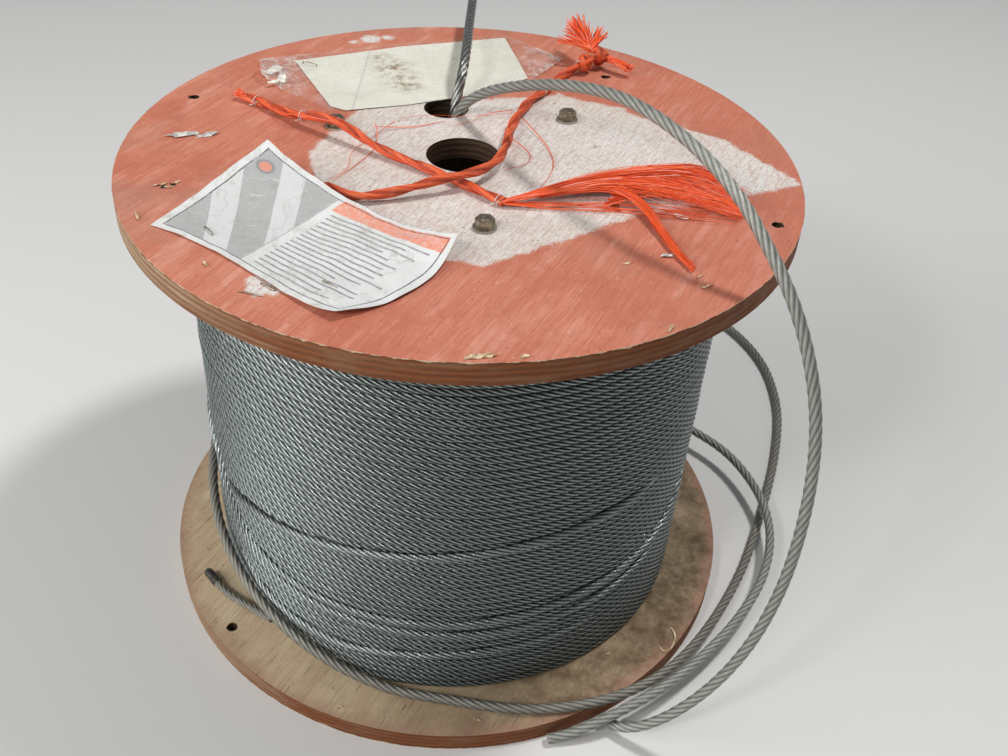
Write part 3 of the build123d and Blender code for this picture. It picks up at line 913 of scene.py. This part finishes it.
def makeTagPaper():
    # white card with a thin border, a grey panel, an orange band and ruled lines
    finish, shader = newFinish("tag_card", {"Specular IOR Level": 0.45})
    place = coordinates()
    uv = node("SeparateXYZ", {0: coordinates("UV")})
    across = times(uv.outputs[0], float(tag["length"]))
    up = times(uv.outputs[1], float(tag["width"]))
    spot = node("CombineXYZ", {0: across, 1: up}).outputs[0]
    smudge = noise(place, 60, 5, 0.65)
    paper = mixed(ramp(smudge, [(0.42, 0.0), (0.68, 0.6)]), tag["paper"], tag["paperWorn"])
    worn = noise(place, 380, 4, 0.7)
    inkShare = ramp(worn, [(0.44, 1.0), (0.70, 0.5)])
    edge, line, width, length = tag["margin"], tag["line"], tag["width"], tag["length"]
    outer = boxMask(across, up, (edge, length - edge, edge, width - edge))
    inner = boxMask(across, up, (edge + line, length - edge - line, edge + line, width - edge - line))
    border = minus(outer, inner)
    panel = boxMask(across, up, (edge + line, tag["divider"], edge + line, width - edge - line))
    wave = scaled(up, 0.55, times(across, 0.9))
    bars = sums("PINGPONG", wave, 17.0)
    bars = ramp(divided(bars, 17.0), [(0.40, 0.0), (0.43, 1.0)])
    grey = mixed(bars, tag["grey"], tag["greyBar"])
    grey = over(grey, worn, [(0.58, 0.0), (0.72, 0.55)], paper)
    streaks = noise(along(spot, (22.0, 2.2, 1), 0.7), 1.0, 4, 0.65)
    grey = over(grey, streaks, [(0.60, 0.0), (0.68, 0.8)], paper)
    tone = mixed(panel, paper, grey)
    divide = boxMask(across, up, (tag["divider"], tag["divider"] + line, edge, width - edge))
    # ruled lines of uneven length in the right part
    left, right, low, _ = tag["band"]
    row = divided(minus(up, 8.0), tag["rulePitch"])
    number = sums("FLOOR", row)
    inRow = isBelow(minus(row, number), tag["ruleShare"])
    ends = node("TexWhiteNoise", {"W": number}, noise_dimensions="1D").outputs["Value"]
    stop = scaled(ends, 26.0, 106.0)
    rules = times(inRow, isBelow(across, stop))
    rules = times(rules, boxMask(across, up, (left + 3, right - 2, 8, low - 3)))
    tone = mixed(times(rules, inkShare), tone, tag["rule"])
    band = times(boxMask(across, up, tag["band"]), inkShare)
    tone = mixed(band, tone, tag["orange"])
    ink = times(greatest(border, divide), inkShare)
    tone = mixed(ink, tone, tag["ink"])
    # eyelet: a grey reinforcing ring round a hole that shows the stained wood
    away = vectorMath("DISTANCE", spot, (*tag["eyelet"], 0))
    ring = ramp(divided(away, 10.0), [(0.68, 1.0), (0.72, 0.0)])
    tone = mixed(ring, tone, tag["ring"])
    tone = mixed(isBelow(away, tag["eyeletDark"]), tone, tag["ringDark"])
    tone = mixed(isBelow(away, tag["eyeletHole"]), tone, tag["woodSeen"])
    dirt = ramp(noise(place, 120, 6, 0.75), [(0.58, 0.0), (0.70, 0.6)])
    tone = mixed(dirt, tone, tag["dirt"])
    fold = absolute(minus(noise(place, 26, 3, 0.5), 0.5))
    tone = over(tone, fold, [(0.0, 0.35), (0.012, 0.0)], tag["foldShade"])
    relief = bumpy(noise(place, 120, 4, 0.6), 0.45, 0.0010)
    relief = bumpy(ramp(fold, [(0.0, 0.0), (0.02, 1.0)]), 0.35, 0.0006, relief)
    plug(shader, Base_Color=tone, Roughness=ramp(smudge, [(0.3, 0.42), (0.7, 0.6)]), Normal=relief)
    return finish


def buildTag():
    rows, columns = tag["steps"]
    lengthShare, widthShare = np.meshgrid(np.linspace(0, 1, rows), np.linspace(0, 1, columns),
                                          indexing="ij")
    lines = [throughPoints(line, widthShare) for line in tag["net"]]
    grid = throughPoints(lines, lengthShare) * mm
    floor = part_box("paper_tag")[0].z
    for spot in grid.reshape(-1, 3):
        crumple = rumple(spot, 38, 38, 0.4) + 0.5 * rumple(spot, 95, 95, 1.7)
        spot[2] = max(floor + tag["rise"], spot[2] + tag["crease"] * crumple)
    obj = sheetMesh("tag_card", grid, tag["thickness"])
    dress(obj, makeTagPaper(), "tag_paper", "paper_tag")


buildTag()
print("tag laid")


# Pouch: crumpled clear film over a folded slip of paper; outlines in millimetres
pouch = {
    "back": [(-151, 124), (-62, 165), (22, 196), (66, 157)],
    "front": [(-143, 88), (-90, 48), (-40, 62), (0, 82), (44, 118)],
    "steps": (150, 76), "lift": 3.4 * mm, "curl": 10 * mm, "thickness": 0.12 * mm,
    "slipBack": [(-126.6, 126.5), (-54, 163), (22, 192)],
    "slipFront": [(-91, 56), (-80, 51), (-40, 65.5), (0, 85), (40, 120)],
    "slipSteps": (90, 40), "slipThickness": 0.25 * mm, "slipRise": 0.5 * mm, "slipWave": 0.35 * mm,
    "filmRise": 1.3 * mm, "foldRise": 2.5 * mm,
    "stains": [((-67, 142), 11), ((-58, 126), 20), ((-50, 108), 19), ((-44, 94), 15)], "fold": -76,
    "film": (0.76, 0.76, 0.72), "filmPale": (0.90, 0.90, 0.86), "slip": (0.76, 0.745, 0.64),
    "slipWorn": (0.66, 0.63, 0.52), "stain": (0.30, 0.215, 0.12), "foldShade": (0.45, 0.43, 0.38),
    # folds: pale pieces on the film that stand for highlights on its folds: middle, half length, half width,
    # degrees
    "folds": [((-137, 104), 9, 4.5, 62), ((-129, 90), 8, 3, 110), ((-133, 84), 5, 2.2, 40)],
}


def alongEdge(line, share):
    knots = np.linspace(0, 1, len(line))
    return np.stack([np.interp(share, knots, axis) for axis in zip(*line)], axis=1)


def acrossPouch(back, front, steps):
    rows, columns = steps
    share = np.linspace(0, 1, rows)
    far, near = alongEdge(back, share), alongEdge(front, share)
    blend = np.linspace(0, 1, columns)[None, :, None]
    return near[:, None] * (1 - blend) + far[:, None] * blend


def makeFilm():
    finish, shader = newFinish("clear_film", {"Specular IOR Level": 0.8, "IOR": 1.5})
    place = coordinates()
    crumple = noise(place, 45, 6, 0.6)
    fine = noise(place, 190, 4, 0.6)
    tone = mixed(ramp(crumple, [(0.35, 0.0), (0.65, 1.0)]), pouch["film"], pouch["filmPale"])
    crease = absolute(minus(noise(place, 70, 5, 0.65), 0.5))
    # the creases are whiter and more opaque: partly whitened film and partly painted highlight along the
    # folds
    milkyAndSheen = ramp(crease, [(0.0, 0.62), (0.018, 0.20), (0.07, 0.10)])
    milkyAndSheen = plus(milkyAndSheen, ramp(noise(place, 38, 4, 0.6), [(0.56, 0.0), (0.70, 0.30)]), clamp=True)
    across = node("SeparateXYZ", {0: place}).outputs[0]
    fromSlip = absolute(plus(across, 0.040))
    milkyAndSheen = times(milkyAndSheen, ramp(fromSlip, [(0.070, 0.22), (0.092, 1.0)]))
    relief = bumpy(crumple, 0.9, 0.006)
    relief = bumpy(fine, 0.5, 0.0012, relief)
    rough = ramp(fine, [(0.3, 0.06), (0.7, 0.22)])
    plug(shader, Base_Color=tone, Roughness=rough, Normal=relief, Alpha=milkyAndSheen)
    return finish


def makeSlipPaper():
    finish, shader = newFinish("slip_paper", {"Roughness": 0.72})
    place = coordinates()
    flat, across, _, _ = flatPlace(place)
    soft = noise(place, 35, 5, 0.6)
    tone = mixed(ramp(soft, [(0.4, 0.0), (0.7, 0.5)]), pouch["slip"], pouch["slipWorn"])
    wet = reduce(greatest, [divided(insideDisc(flat, middle, radius), radius * mm, clamp=True)
                            for middle, radius in pouch["stains"]])
    wet = times(wet, ramp(noise(place, 190, 6, 0.8), [(0.44, 0.0), (0.62, 1.5)]), clamp=True)
    tone = mixed(wet, tone, pouch["stain"])
    folded = absolute(minus(across, pouch["fold"] * mm))
    tone = over(tone, times(folded, 900.0), [(0.3, 0.5), (0.9, 0.0)], pouch["foldShade"])
    plug(shader, Base_Color=tone, Normal=bumpy(soft, 0.4, 0.002))
    return finish


def buildPouch():
    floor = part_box("clear_pouch")[0].z
    flat = acrossPouch(pouch["slipBack"], pouch["slipFront"], pouch["slipSteps"]) * mm
    height = np.full(flat.shape[:2], floor + pouch["slipRise"])
    slip = np.concatenate((flat, height[..., None]), axis=2)
    for spot in slip.reshape(-1, 3):
        spot[2] += pouch["slipWave"] * rumple(spot, 30, 30, 3.1)
    paper = sheetMesh("pouch_slip", slip, pouch["slipThickness"])
    dress(paper, makeSlipPaper(), "tag_paper", "packing_slip")
    flat = acrossPouch(pouch["back"], pouch["front"], pouch["steps"]) * mm
    rows, columns = pouch["steps"]
    film = np.concatenate((flat, np.zeros((rows, columns, 1))), axis=2)
    for row in range(rows):
        for column in range(columns):
            spot = film[row, column]
            rim = min(row, rows - 1 - row, column, columns - 1 - column) / 10
            folds = abs(rumple(spot, 42, 42, 5.0)) + 0.6 * abs(rumple(spot, 110, 75, 8.0))
            curl = max(0, 1 - row / 14) * (0.45 + 0.55 * math.sin(0.6 + column * 0.045))
            rise = pouch["lift"] * folds * min(1, rim)
            spot[2] = floor + pouch["filmRise"] + rise + pouch["curl"] * curl ** 2
    obj = sheetMesh("pouch_film", film, pouch["thickness"])
    dress(obj, makeFilm(), "clear_film", "clear_pouch")


buildPouch()
print("pouch laid")


# Fibres: flat ribbons of the twine, many joined in one mesh
fibres = {
    "width": 0.52 * mm, "thick": 0.2 * mm, "step": 4 * mm, "shortStep": 3 * mm,
    # bundles of the fan: how many fibres, and points with how far the fibres spread there
    "bundles": [
        (120, [(27, -61.5, 327.4, 1.6), (48, -53, 329, 4), (68.5, -42, 330.5, 8), (90, -34, 330.5, 9),
               (113.5, -31, 330, 16), (137, -36, 329, 20), (155, -46, 328, 15), (166, -58, 326.6, 8)]),
        (74, [(27, -61, 327.6, 1.4), (50.5, -49, 330, 3), (77.5, -33, 331.5, 5), (108.5, -21, 331.5, 7),
              (140, -15, 331, 9), (157, -22, 329.5, 9), (167, -40, 327.5, 9)]),
        (14, [(28, -62.5, 327, 1.2), (50.7, -60, 326, 5), (74, -56.5, 325.6, 9), (97, -56, 325.6, 10),
              (120, -58, 325.6, 9), (143, -62, 325.6, 8), (160, -63, 325.6, 7)]),
        (66, [(48, -53, 328.5, 3), (74.5, -44, 329.5, 5), (94, -42, 330, 6), (107, -56, 329, 5.5),
              (115, -80, 327.5, 5), (122, -101, 326.4, 3.8), (130.5, -119, 325.8, 2.6)]),
        (36, [(88, -52, 327, 12), (106, -40, 329, 14), (128, -34, 329, 16), (150, -46, 328, 14),
              (165, -58, 327, 9)])],
}


def joined(name, parts):
    deselectAll()
    for part in parts:
        part.select_set(True)
    bpy.context.view_layer.objects.active = parts[0]
    bpy.ops.object.join()
    parts[0].name = name
    return parts[0]


def guided(points, step):
    guide = routeCurve("guide", points)
    line = evenly(linePoints(guide), step)[1]
    data = guide.data
    bpy.data.objects.remove(guide)
    bpy.data.curves.remove(data)
    return line


def fibreMesh(name, lines, width, thick):
    points, faces, spots = [], [], []
    for number, line in enumerate(lines):
        side, up = carriedFrames(line)
        count = len(line)
        spin = fixed.uniform(0, anyTurn) + np.linspace(0, fixed.uniform(-2.5, 2.5), count)
        wide = width * fixed.uniform(0.6, 1.25) * np.interp(np.arange(count), [0, count * 0.7, count - 1],
                                                            [1, 0.9, 0.35])
        flat = (np.cos(spin)[:, None] * side + np.sin(spin)[:, None] * up) * wide[:, None] / 2
        tall = (np.cos(spin)[:, None] * up - np.sin(spin)[:, None] * side) * thick / 2
        start = len(points)
        for ring in np.stack((line - flat - tall, line + flat - tall, line + flat + tall,
                              line - flat + tall), axis=1):
            points.extend(ring.tolist())
        for row in range(count - 1):
            for corner in range(4):
                nextCorner = (corner + 1) % 4
                first, after = start + 4 * row, start + 4 * row + 4
                faces.append((first + corner, first + nextCorner, after + nextCorner, after + corner))
                spots.extend(((row * 0.2, number * 0.13), (row * 0.2, number * 0.13 + 0.05),
                              (row * 0.2 + 0.2, number * 0.13 + 0.05), (row * 0.2 + 0.2, number * 0.13)))
        last = start + 4 * (count - 1)
        faces.append((start + 3, start + 2, start + 1, start))
        faces.append((last, last + 1, last + 2, last + 3))
        spots.extend([(0, number * 0.13)] * 8)
    mesh = bpy.data.meshes.new(name)
    mesh.from_pydata(points, [], faces)
    mesh.uv_layers.new(name="UVMap").data.foreach_set("uv", np.array(spots, dtype=np.float32).ravel())
    return linked(name, mesh)


def aboveWood(points):
    return [(x, y, max(z, fibres["wood"])) for x, y, z in points]


def makeFibreFinish():
    finish, shader = newFinish("fibre_orange", {"Roughness": 0.38, "Specular IOR Level": 0.5})
    place = coordinates()
    uv = stretched(coordinates("UV"), (0.25, 7.0, 1))
    each = noise(uv, 1.0, 2, 0.5)
    # the palest fibre colours are partly paler fibres and partly painted highlight
    tone = ramp(each, tints["fibre"])
    plug(shader, Base_Color=tone, Normal=bumpy(noise(place, 1500, 2), 0.3, 0.0002))
    return finish


fibreFinish = makeFibreFinish()
fibres["wood"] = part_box("twine_fan")[0].z / mm + 0.4


def scattered(point, spread):
    return tuple(value + fixed.uniform(-spread, spread) for value in point)


def bentFibre(root, tip, step, sway=0.8, lift=(0, 0, 0)):
    middle = [(a + b) / 2 + c for a, b, c in zip(root, tip, lift)]
    return guided(aboveWood([root, scattered(middle, sway), tip]), step)


def buildFan():
    lines = []
    for count, route in fibres["bundles"]:
        for _ in range(count):
            share, drift = fixed.uniform(-1, 1), fixed.uniform(-0.75, 0.75)
            phase, reach = fixed.uniform(0, anyTurn), fixed.uniform(0.5, 1)
            points = []
            for number, (x, y, z, spread) in enumerate(route):
                here = (share + drift * math.sin(number * 0.9 + phase)) * spread * reach
                points.append((x + 0.35 * here + fixed.uniform(-1, 1),
                               y + 0.8 * here + fixed.uniform(-0.5, 0.5),
                               z + fixed.uniform(-0.8, 1.2) * min(spread, 3) / 2))
            stop = len(points) - fixed.choice((0, 0, 0, 0, 0, 1, 1, 2))
            lines.append(guided(aboveWood(points[:stop]), fibres["step"]))
    fan = fibreMesh("fan_fibres", lines, fibres["width"], fibres["thick"])
    dress(fan, fibreFinish, "orange_twine", "twine_fan")


# Knot: two round lumps of twine, a thick tuft of fibres behind them and a cut end beside them
knotShape = {"diameter": 5.4 * mm, "strands": 2, "lay": 40 * mm, "valley": 0.24, "perStrand": 10,
             "uneven": 0.05}
knot = {
    "lumps": [((81, 136.5, 331.6), 4.2, 0.4), ((92, 147, 332.6), 4.4, 1.7)], "turns": 19,
    "root": (85.5, 147, 337), "lift": (-1, 0, 2.2), "sway": 1.2, "fibreWidth": 0.9 * mm,
    "fibreThick": 0.3 * mm,
    # tufts: where their fibres end, how many there are and how far they spread
    "tufts": [([(62.5, 152, 342), (65.5, 160, 345), (68.5, 169, 348), (72, 176, 350), (76, 170, 351),
                (79, 163, 349)], 120, 3.4),
              ([(88, 164, 346), (92, 163, 347), (95, 158, 345)], 34, 2.4)],
    "stubStart": (96, 146, 332.5), "stubEnd": (112.5, 134, 330.5), "stubCount": 78,
}


def lumpTurns(middle, reach, start):
    # crossing turns round one point, each tilted from the last
    points = []
    for number in range(knot["turns"]):
        angle = start + number * 1.15
        tilt = 0.9 * math.sin(start + number * 0.43)
        across = reach * math.cos(angle)
        points.append((middle[0] + across * math.cos(tilt), middle[1] + reach * math.sin(angle),
                       middle[2] + across * math.sin(tilt) + 0.5 * reach * math.sin(number * 0.31)))
    return points


def buildKnot():
    lumps = []
    for middle, reach, start in knot["lumps"]:
        guide = routeCurve("knot_guide", lumpTurns(middle, reach, start))
        lumps.append(strandedTube("knot_lump", linePoints(guide), knotShape, 1.0 * mm)[0])
        bpy.data.objects.remove(guide)
    dress(joined("knot_turns", lumps), twineFinish, "orange_twine", "twine_knot")
    lines = []
    for tips, count, spread in knot["tufts"]:
        for _ in range(count):
            tip = scattered(fixed.choice(tips), spread)
            root = scattered(knot["root"], 2.4)
            lines.append(bentFibre(root, tip, fibres["shortStep"], knot["sway"], knot["lift"]))
    for _ in range(knot["stubCount"]):
        root = scattered(knot["stubStart"], 2.2)
        tip = scattered(knot["stubEnd"], 2.8)
        lines.append(bentFibre(root, tip, fibres["shortStep"]))
    tuft = fibreMesh("knot_fibres", lines, knot["fibreWidth"], knot["fibreThick"])
    dress(tuft, fibreFinish, "orange_twine")


# Loose fibres beside the twine, and the thin strays round the arbor hole
strays = {
    "count": 26, "width": 0.5 * mm, "thick": 0.22 * mm,
    "endCount": 34, "endTip": (-152.5, 61, 328.5), "endStep": 2.5 * mm, "endWidth": 1.1 * mm,
    "endThick": 0.3 * mm,
    "threads": [
        [(-44.6, 41.6, 326), (-24.4, 50.5, 326), (2, 48, 326.5), (31.1, 57.7, 327)],
        [(35, 54, 327), (48, 30, 325), (57, 2, 325), (56, -19, 325), (48, -39, 325)],
        [(-46, 35, 327), (-60, 12, 325), (-70, -8, 325), (-66, -31, 325), (-78, -46, 326)],
        [(-58, 30, 327), (-52, 8, 325), (-62, -22, 325), (-74, -44, 325.5)],
        [(30, 20, 327), (44, 6, 325), (40, -12, 325), (26, -20, 326)],
        [(30, 62, 327), (12, 60, 325), (4, 44, 325.5), (-8, 38, 325)],
        [(150, -20, 326), (160, -12, 325), (165, -22, 325), (176, -30, 325)],
        [(-149, 60, 327), (-154, 68, 326), (-160, 66, 325.5)],
        [(-60, 22, 329), (-44, 30, 325), (-28, 34, 325), (-14, 44, 325)]],
}


def buildStrays():
    lines = [guided(aboveWood(points), fibres["shortStep"]) for points in strays["threads"]]
    for _ in range(strays["count"]):
        line = cordLines[fixed.choice(("twine_left", "twine_right"))]
        start = fixed.randint(0, int(len(line) * 0.6))
        picked = line[start:start + fixed.randint(25, 60):6] / mm
        side = fixed.choice((-1, 1)) * fixed.uniform(2.4, 5)
        points = [(x + side * (0.5 + 0.5 * math.sin(0.9 * k)), y + side * 0.6, z + fixed.uniform(-1, 2.6))
                  for k, (x, y, z) in enumerate(picked)]
        lines.append(guided(aboveWood(points), fibres["shortStep"]))
    loose = fibreMesh("stray_fibres", lines, strays["width"], strays["thick"])
    dress(loose, fibreFinish, "orange_twine")
    ends = []
    for _ in range(strays["endCount"]):    # the frayed left end of the twine
        root = scattered(tuple(cordLines["twine_left"][3] / mm), 2.0)
        tip = scattered(strays["endTip"], 3.2)
        ends.append(bentFibre(root, tip, strays["endStep"]))
    brush = fibreMesh("frayed_end", ends, strays["endWidth"], strays["endThick"])
    dress(brush, fibreFinish, "orange_twine")


buildFan()
buildKnot()
buildStrays()
print("fibres laid")


# Ties of thin white thread round the twine: a little over one turn, with two short ends
ties = {
    "places": [("twine_left", (-137.6, 52.3)), ("twine_left", (-104.6, 26.6)), ("twine_left", (26, -61)),
               ("twine_right", (50.5, 92.5)), ("twine_right", (77, 136))],
    "radius": 3.25 * mm, "wire": 0.3 * mm, "tail": 3 * mm, "turns": 1.1, "points": 34, "climb": 0.05,
}


def wireTube(name, line, radius, sides=6):
    side, up = carriedFrames(line)
    turned = 2 * np.pi * np.arange(sides) / sides
    out = np.cos(turned)[None, :, None] * side[:, None] + np.sin(turned)[None, :, None] * up[:, None]
    rings = line[:, None] + out * radius
    share = np.linspace(0, 1, len(line))
    u = np.repeat(share[:, None], sides + 1, axis=1)
    v = np.repeat(np.linspace(0, 1, sides + 1)[None], len(line), axis=0)
    return loopMesh(name, rings, np.stack((u, v), axis=-1))


def makeThread():
    finish, shader = newFinish("tie_thread", {"Roughness": 0.6})
    weave = noise(coordinates(), 1800, 2)
    tone = mixed(ramp(weave, [(0.4, 0.0), (0.6, 1.0)]), tints["thread"], tints["threadPale"])
    plug(shader, Base_Color=tone, Normal=bumpy(weave, 0.5, 0.0002))
    return finish


def buildTies():
    parts = []
    for cord, (x, y) in ties["places"]:
        line = cordLines[cord]
        spot = int(np.argmin(np.hypot(line[:, 0] - x * mm, line[:, 1] - y * mm)))
        spot = min(max(spot, 2), len(line) - 3)
        ahead = Vector(line[spot + 2] - line[spot - 2]).normalized()
        side = ahead.cross((0, 0, 1)).normalized()
        up = side.cross(ahead)
        middle = Vector(line[spot])
        points = []
        for number in range(ties["points"]):
            angle = -0.5 + number * ties["turns"] * 2 * math.pi / (ties["points"] - 1)
            reach = ties["radius"] * (1 + 0.04 * math.sin(5 * angle))
            loop = reach * (math.cos(angle) * side + math.sin(angle) * up)
            points.append(middle + loop + ahead * (number - ties["points"] / 2) * ties["climb"] * mm)
        first = points[0] + side * ties["tail"] * 0.8 - ahead * ties["tail"] * 0.5
        last = points[-1] - side * ties["tail"] * 0.7 + ahead * ties["tail"] * 0.6
        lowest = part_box("top_flange")[1].z + 0.5 * mm
        points = [first, *points, last]
        lineUp = np.array([tuple(point) for point in points])
        lineUp[:, 2] = np.maximum(lineUp[:, 2], lowest)
        parts.append(wireTube("tie", lineUp, ties["wire"]))
    dress(joined("twine_ties", parts), makeThread(), "orange_twine")


# Staples left in the tag, the slip and the wood: (middle, degrees, length, height that it stands on)
staples = {
    "wire": 0.38 * mm, "rise": 0.35 * mm,
    "places": [((-59.7, -154.1), -37, 12, 325.6), ((-29.4, -123.4), -42, 10, 325.9),
               ((-133, -109), -50, 9, 326.2), ((-99.3, -164.1), -14, 12, 324.3),
               ((-91.6, -157), -35, 10, 324.3), ((-115, 120), -22, 11, 326.4)],
}


def buildStaples():
    parts = []
    for (x, y), degrees, length, height in staples["places"]:
        turned = math.radians(degrees)
        ahead = np.array((math.cos(turned), math.sin(turned), 0))
        middle = np.array((x, y, height)) * mm
        half = length / 2 * mm
        down = np.array((0, 0, -1.6 * mm))
        rise = np.array((0, 0, staples["rise"]))
        line = np.array([middle - ahead * half + down, middle - ahead * half + rise * 0.4,
                         middle - ahead * (half - 1.0 * mm) + rise, middle + rise * 1.3,
                         middle + ahead * (half - 1.0 * mm) + rise, middle + ahead * half + rise * 0.4,
                         middle + ahead * half + down])
        line[:, 2] = np.maximum(line[:, 2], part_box("top_flange")[1].z - 1.0 * mm)
        parts.append(wireTube("staple", line, staples["wire"]))
    dress(joined("staples", parts), nutZinc, "zinc_steel")


# Scraps of torn paper, and flakes of wood split off the rim and round the torn hole, each as its middle,
# half its length, half its width and its degrees
scraps = {
    "thickness": 0.3 * mm,
    "places": [((-176, 4), 11, 4.2, 20), ((-160, 6), 9, 2.6, 34), ((129.8, -62.2), 6, 2.4, -20),
               ((117.6, -105.3), 4.5, 1.6, 10), ((83.5, 20.5), 3.4, 0.8, 62)],
    "flakes": [((19, -204.6), 5.5, 1.5, 28), ((14, -205.6), 4, 1.0, 40), ((24, -204), 3.5, 1.1, 20),
               ((40.4, -202.3), 3, 1.2, 30), ((113, -173), 4.5, 1.0, 62), ((-127.8, -139.5), 3.5, 1.0, -60),
               ((-176, -96), 5, 0.9, -62), ((-172.5, -59.5), 4.6, 1.0, 30), ((-167, -62.5), 3.4, 0.8, 12),
               ((-164.5, -56.5), 3.2, 0.8, 48), ((136, -133), 4.6, 0.7, 30), ((133, -124), 3.8, 0.6, 50),
               ((95, -115), 2, 0.8, 20)],
    "lowFlakes": [((120, -137), 3, 0.5, 40), ((-60, -192), 3, 0.5, 10), ((-20, -190), 2.4, 0.5, 60),
                  ((30, -196), 2.4, 0.5, -20)],
}


def makeScrapFinish(name, dark, pale):
    finish, shader = newFinish(name, {"Roughness": 0.7})
    soft = noise(coordinates(), 300, 4)
    tone = mixed(ramp(soft, [(0.4, 0.0), (0.62, 1.0)]), dark, pale)
    plug(shader, Base_Color=tone, Normal=bumpy(soft, 0.6, 0.0005))
    return finish


def buildScraps(name, places, floor, finish, slotName):
    parts = []
    for (x, y), longHalf, shortHalf, degrees in places:
        deselectAll()
        bpy.ops.mesh.primitive_circle_add(vertices=14, radius=1, fill_type="NGON", location=(0, 0, 0))
        scrap = bpy.context.object
        turned = math.radians(degrees)
        for vertex in scrap.data.vertices:
            ragged = fixed.uniform(0.62, 1.12)
            ahead, wide = vertex.co.x * longHalf * ragged, vertex.co.y * shortHalf * ragged
            vertex.co = ((x + ahead * math.cos(turned) - wide * math.sin(turned)) * mm,
                         (y + ahead * math.sin(turned) + wide * math.cos(turned)) * mm,
                         floor + fixed.uniform(0.2, 1.3) * mm)
        bpy.ops.object.mode_set(mode="EDIT")
        bpy.ops.mesh.select_all(action="SELECT")
        bpy.ops.mesh.quads_convert_to_tris()
        bpy.ops.mesh.extrude_region_move(TRANSFORM_OT_translate={"value": (0, 0, scraps["thickness"])})
        bpy.ops.mesh.select_all(action="SELECT")
        bpy.ops.mesh.normals_make_consistent(inside=False)
        bpy.ops.object.mode_set(mode="OBJECT")
        parts.append(scrap)
    dress(joined(name, parts), finish, slotName)


# Dark tape on the winding's cut end, and a curl of pale wood fibre on the bottom flange
tail = {
    "tapeReach": 13 * mm, "tapeRadius": 3.25 * mm, "tapeSides": 16, "tapeStep": 1 * mm, "swell": 0.10,
    "curlStep": 2 * mm, "curlWidth": 1.9 * mm, "curlThick": 0.3 * mm,
    "curl": [(167, -110.5, 14.6), (169.5, -116, 15.5), (168, -124, 15), (164, -131, 14.7),
             (158.5, -133, 15.2), (156, -127, 16)],
}


def makeTape():
    finish, shader = newFinish("tape_black", {"Roughness": 0.55})
    soft = noise(coordinates(), 420, 4)
    tone = mixed(ramp(soft, [(0.4, 0.0), (0.65, 1.0)]), tints["tape"], tints["tapePale"])
    plug(shader, Base_Color=tone, Normal=bumpy(soft, 0.7, 0.0006))
    return finish


def buildTape():
    line = cordLines["rope_tail"]
    reach = int(tail["tapeReach"] / tubeStep) + 1
    ahead = line[0] - line[1]
    points = np.vstack((line[:1] + ahead * 0.5, line[:reach]))
    middles = evenly(points, tail["tapeStep"])[1]
    sleeve = wireTube("tail_tape", middles, tail["tapeRadius"], tail["tapeSides"])
    for vertex in sleeve.data.vertices:
        swell = 1 + tail["swell"] * terrain.noise(vertex.co * 900)
        nearest = points[np.argmin(np.linalg.norm(points - np.array(vertex.co), axis=1))]
        vertex.co = Vector(nearest) + (vertex.co - Vector(nearest)) * swell
    dress(sleeve, makeTape(), "wire_rope")
    curl = guided(tail["curl"], tail["curlStep"])
    shaving = fibreMesh("wood_shaving", [curl], tail["curlWidth"], tail["curlThick"])
    dress(shaving, flakeFinish, "raw_ply")


buildTies()
buildStaples()
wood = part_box("top_flange")[1].z
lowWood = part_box("bottom_flange")[1].z
scrapFinish = makeScrapFinish("scrap_paper", tints["scrap"], tints["scrapPale"])
buildScraps("paper_scraps", scraps["places"], wood, scrapFinish, "tag_paper")
flakeFinish = makeScrapFinish("pale_splinters", tints["flake"], tints["flakePale"])
# painted highlight: pale opaque pieces laid on the film's left end stand for the light caught by its folds
foldHighlightFinish = makeScrapFinish("film_fold_highlight", tints["fold"], tints["foldHighlightPale"])
buildScraps("film_fold_highlights", pouch["folds"], wood + pouch["foldRise"], foldHighlightFinish, "clear_film")
buildScraps("wood_flakes", scraps["flakes"], wood - 0.2 * mm, flakeFinish, "raw_ply")
buildScraps("low_flakes", scraps["lowFlakes"], lowWood - 0.2 * mm, flakeFinish, "raw_ply")
buildTape()
print("small pieces laid")
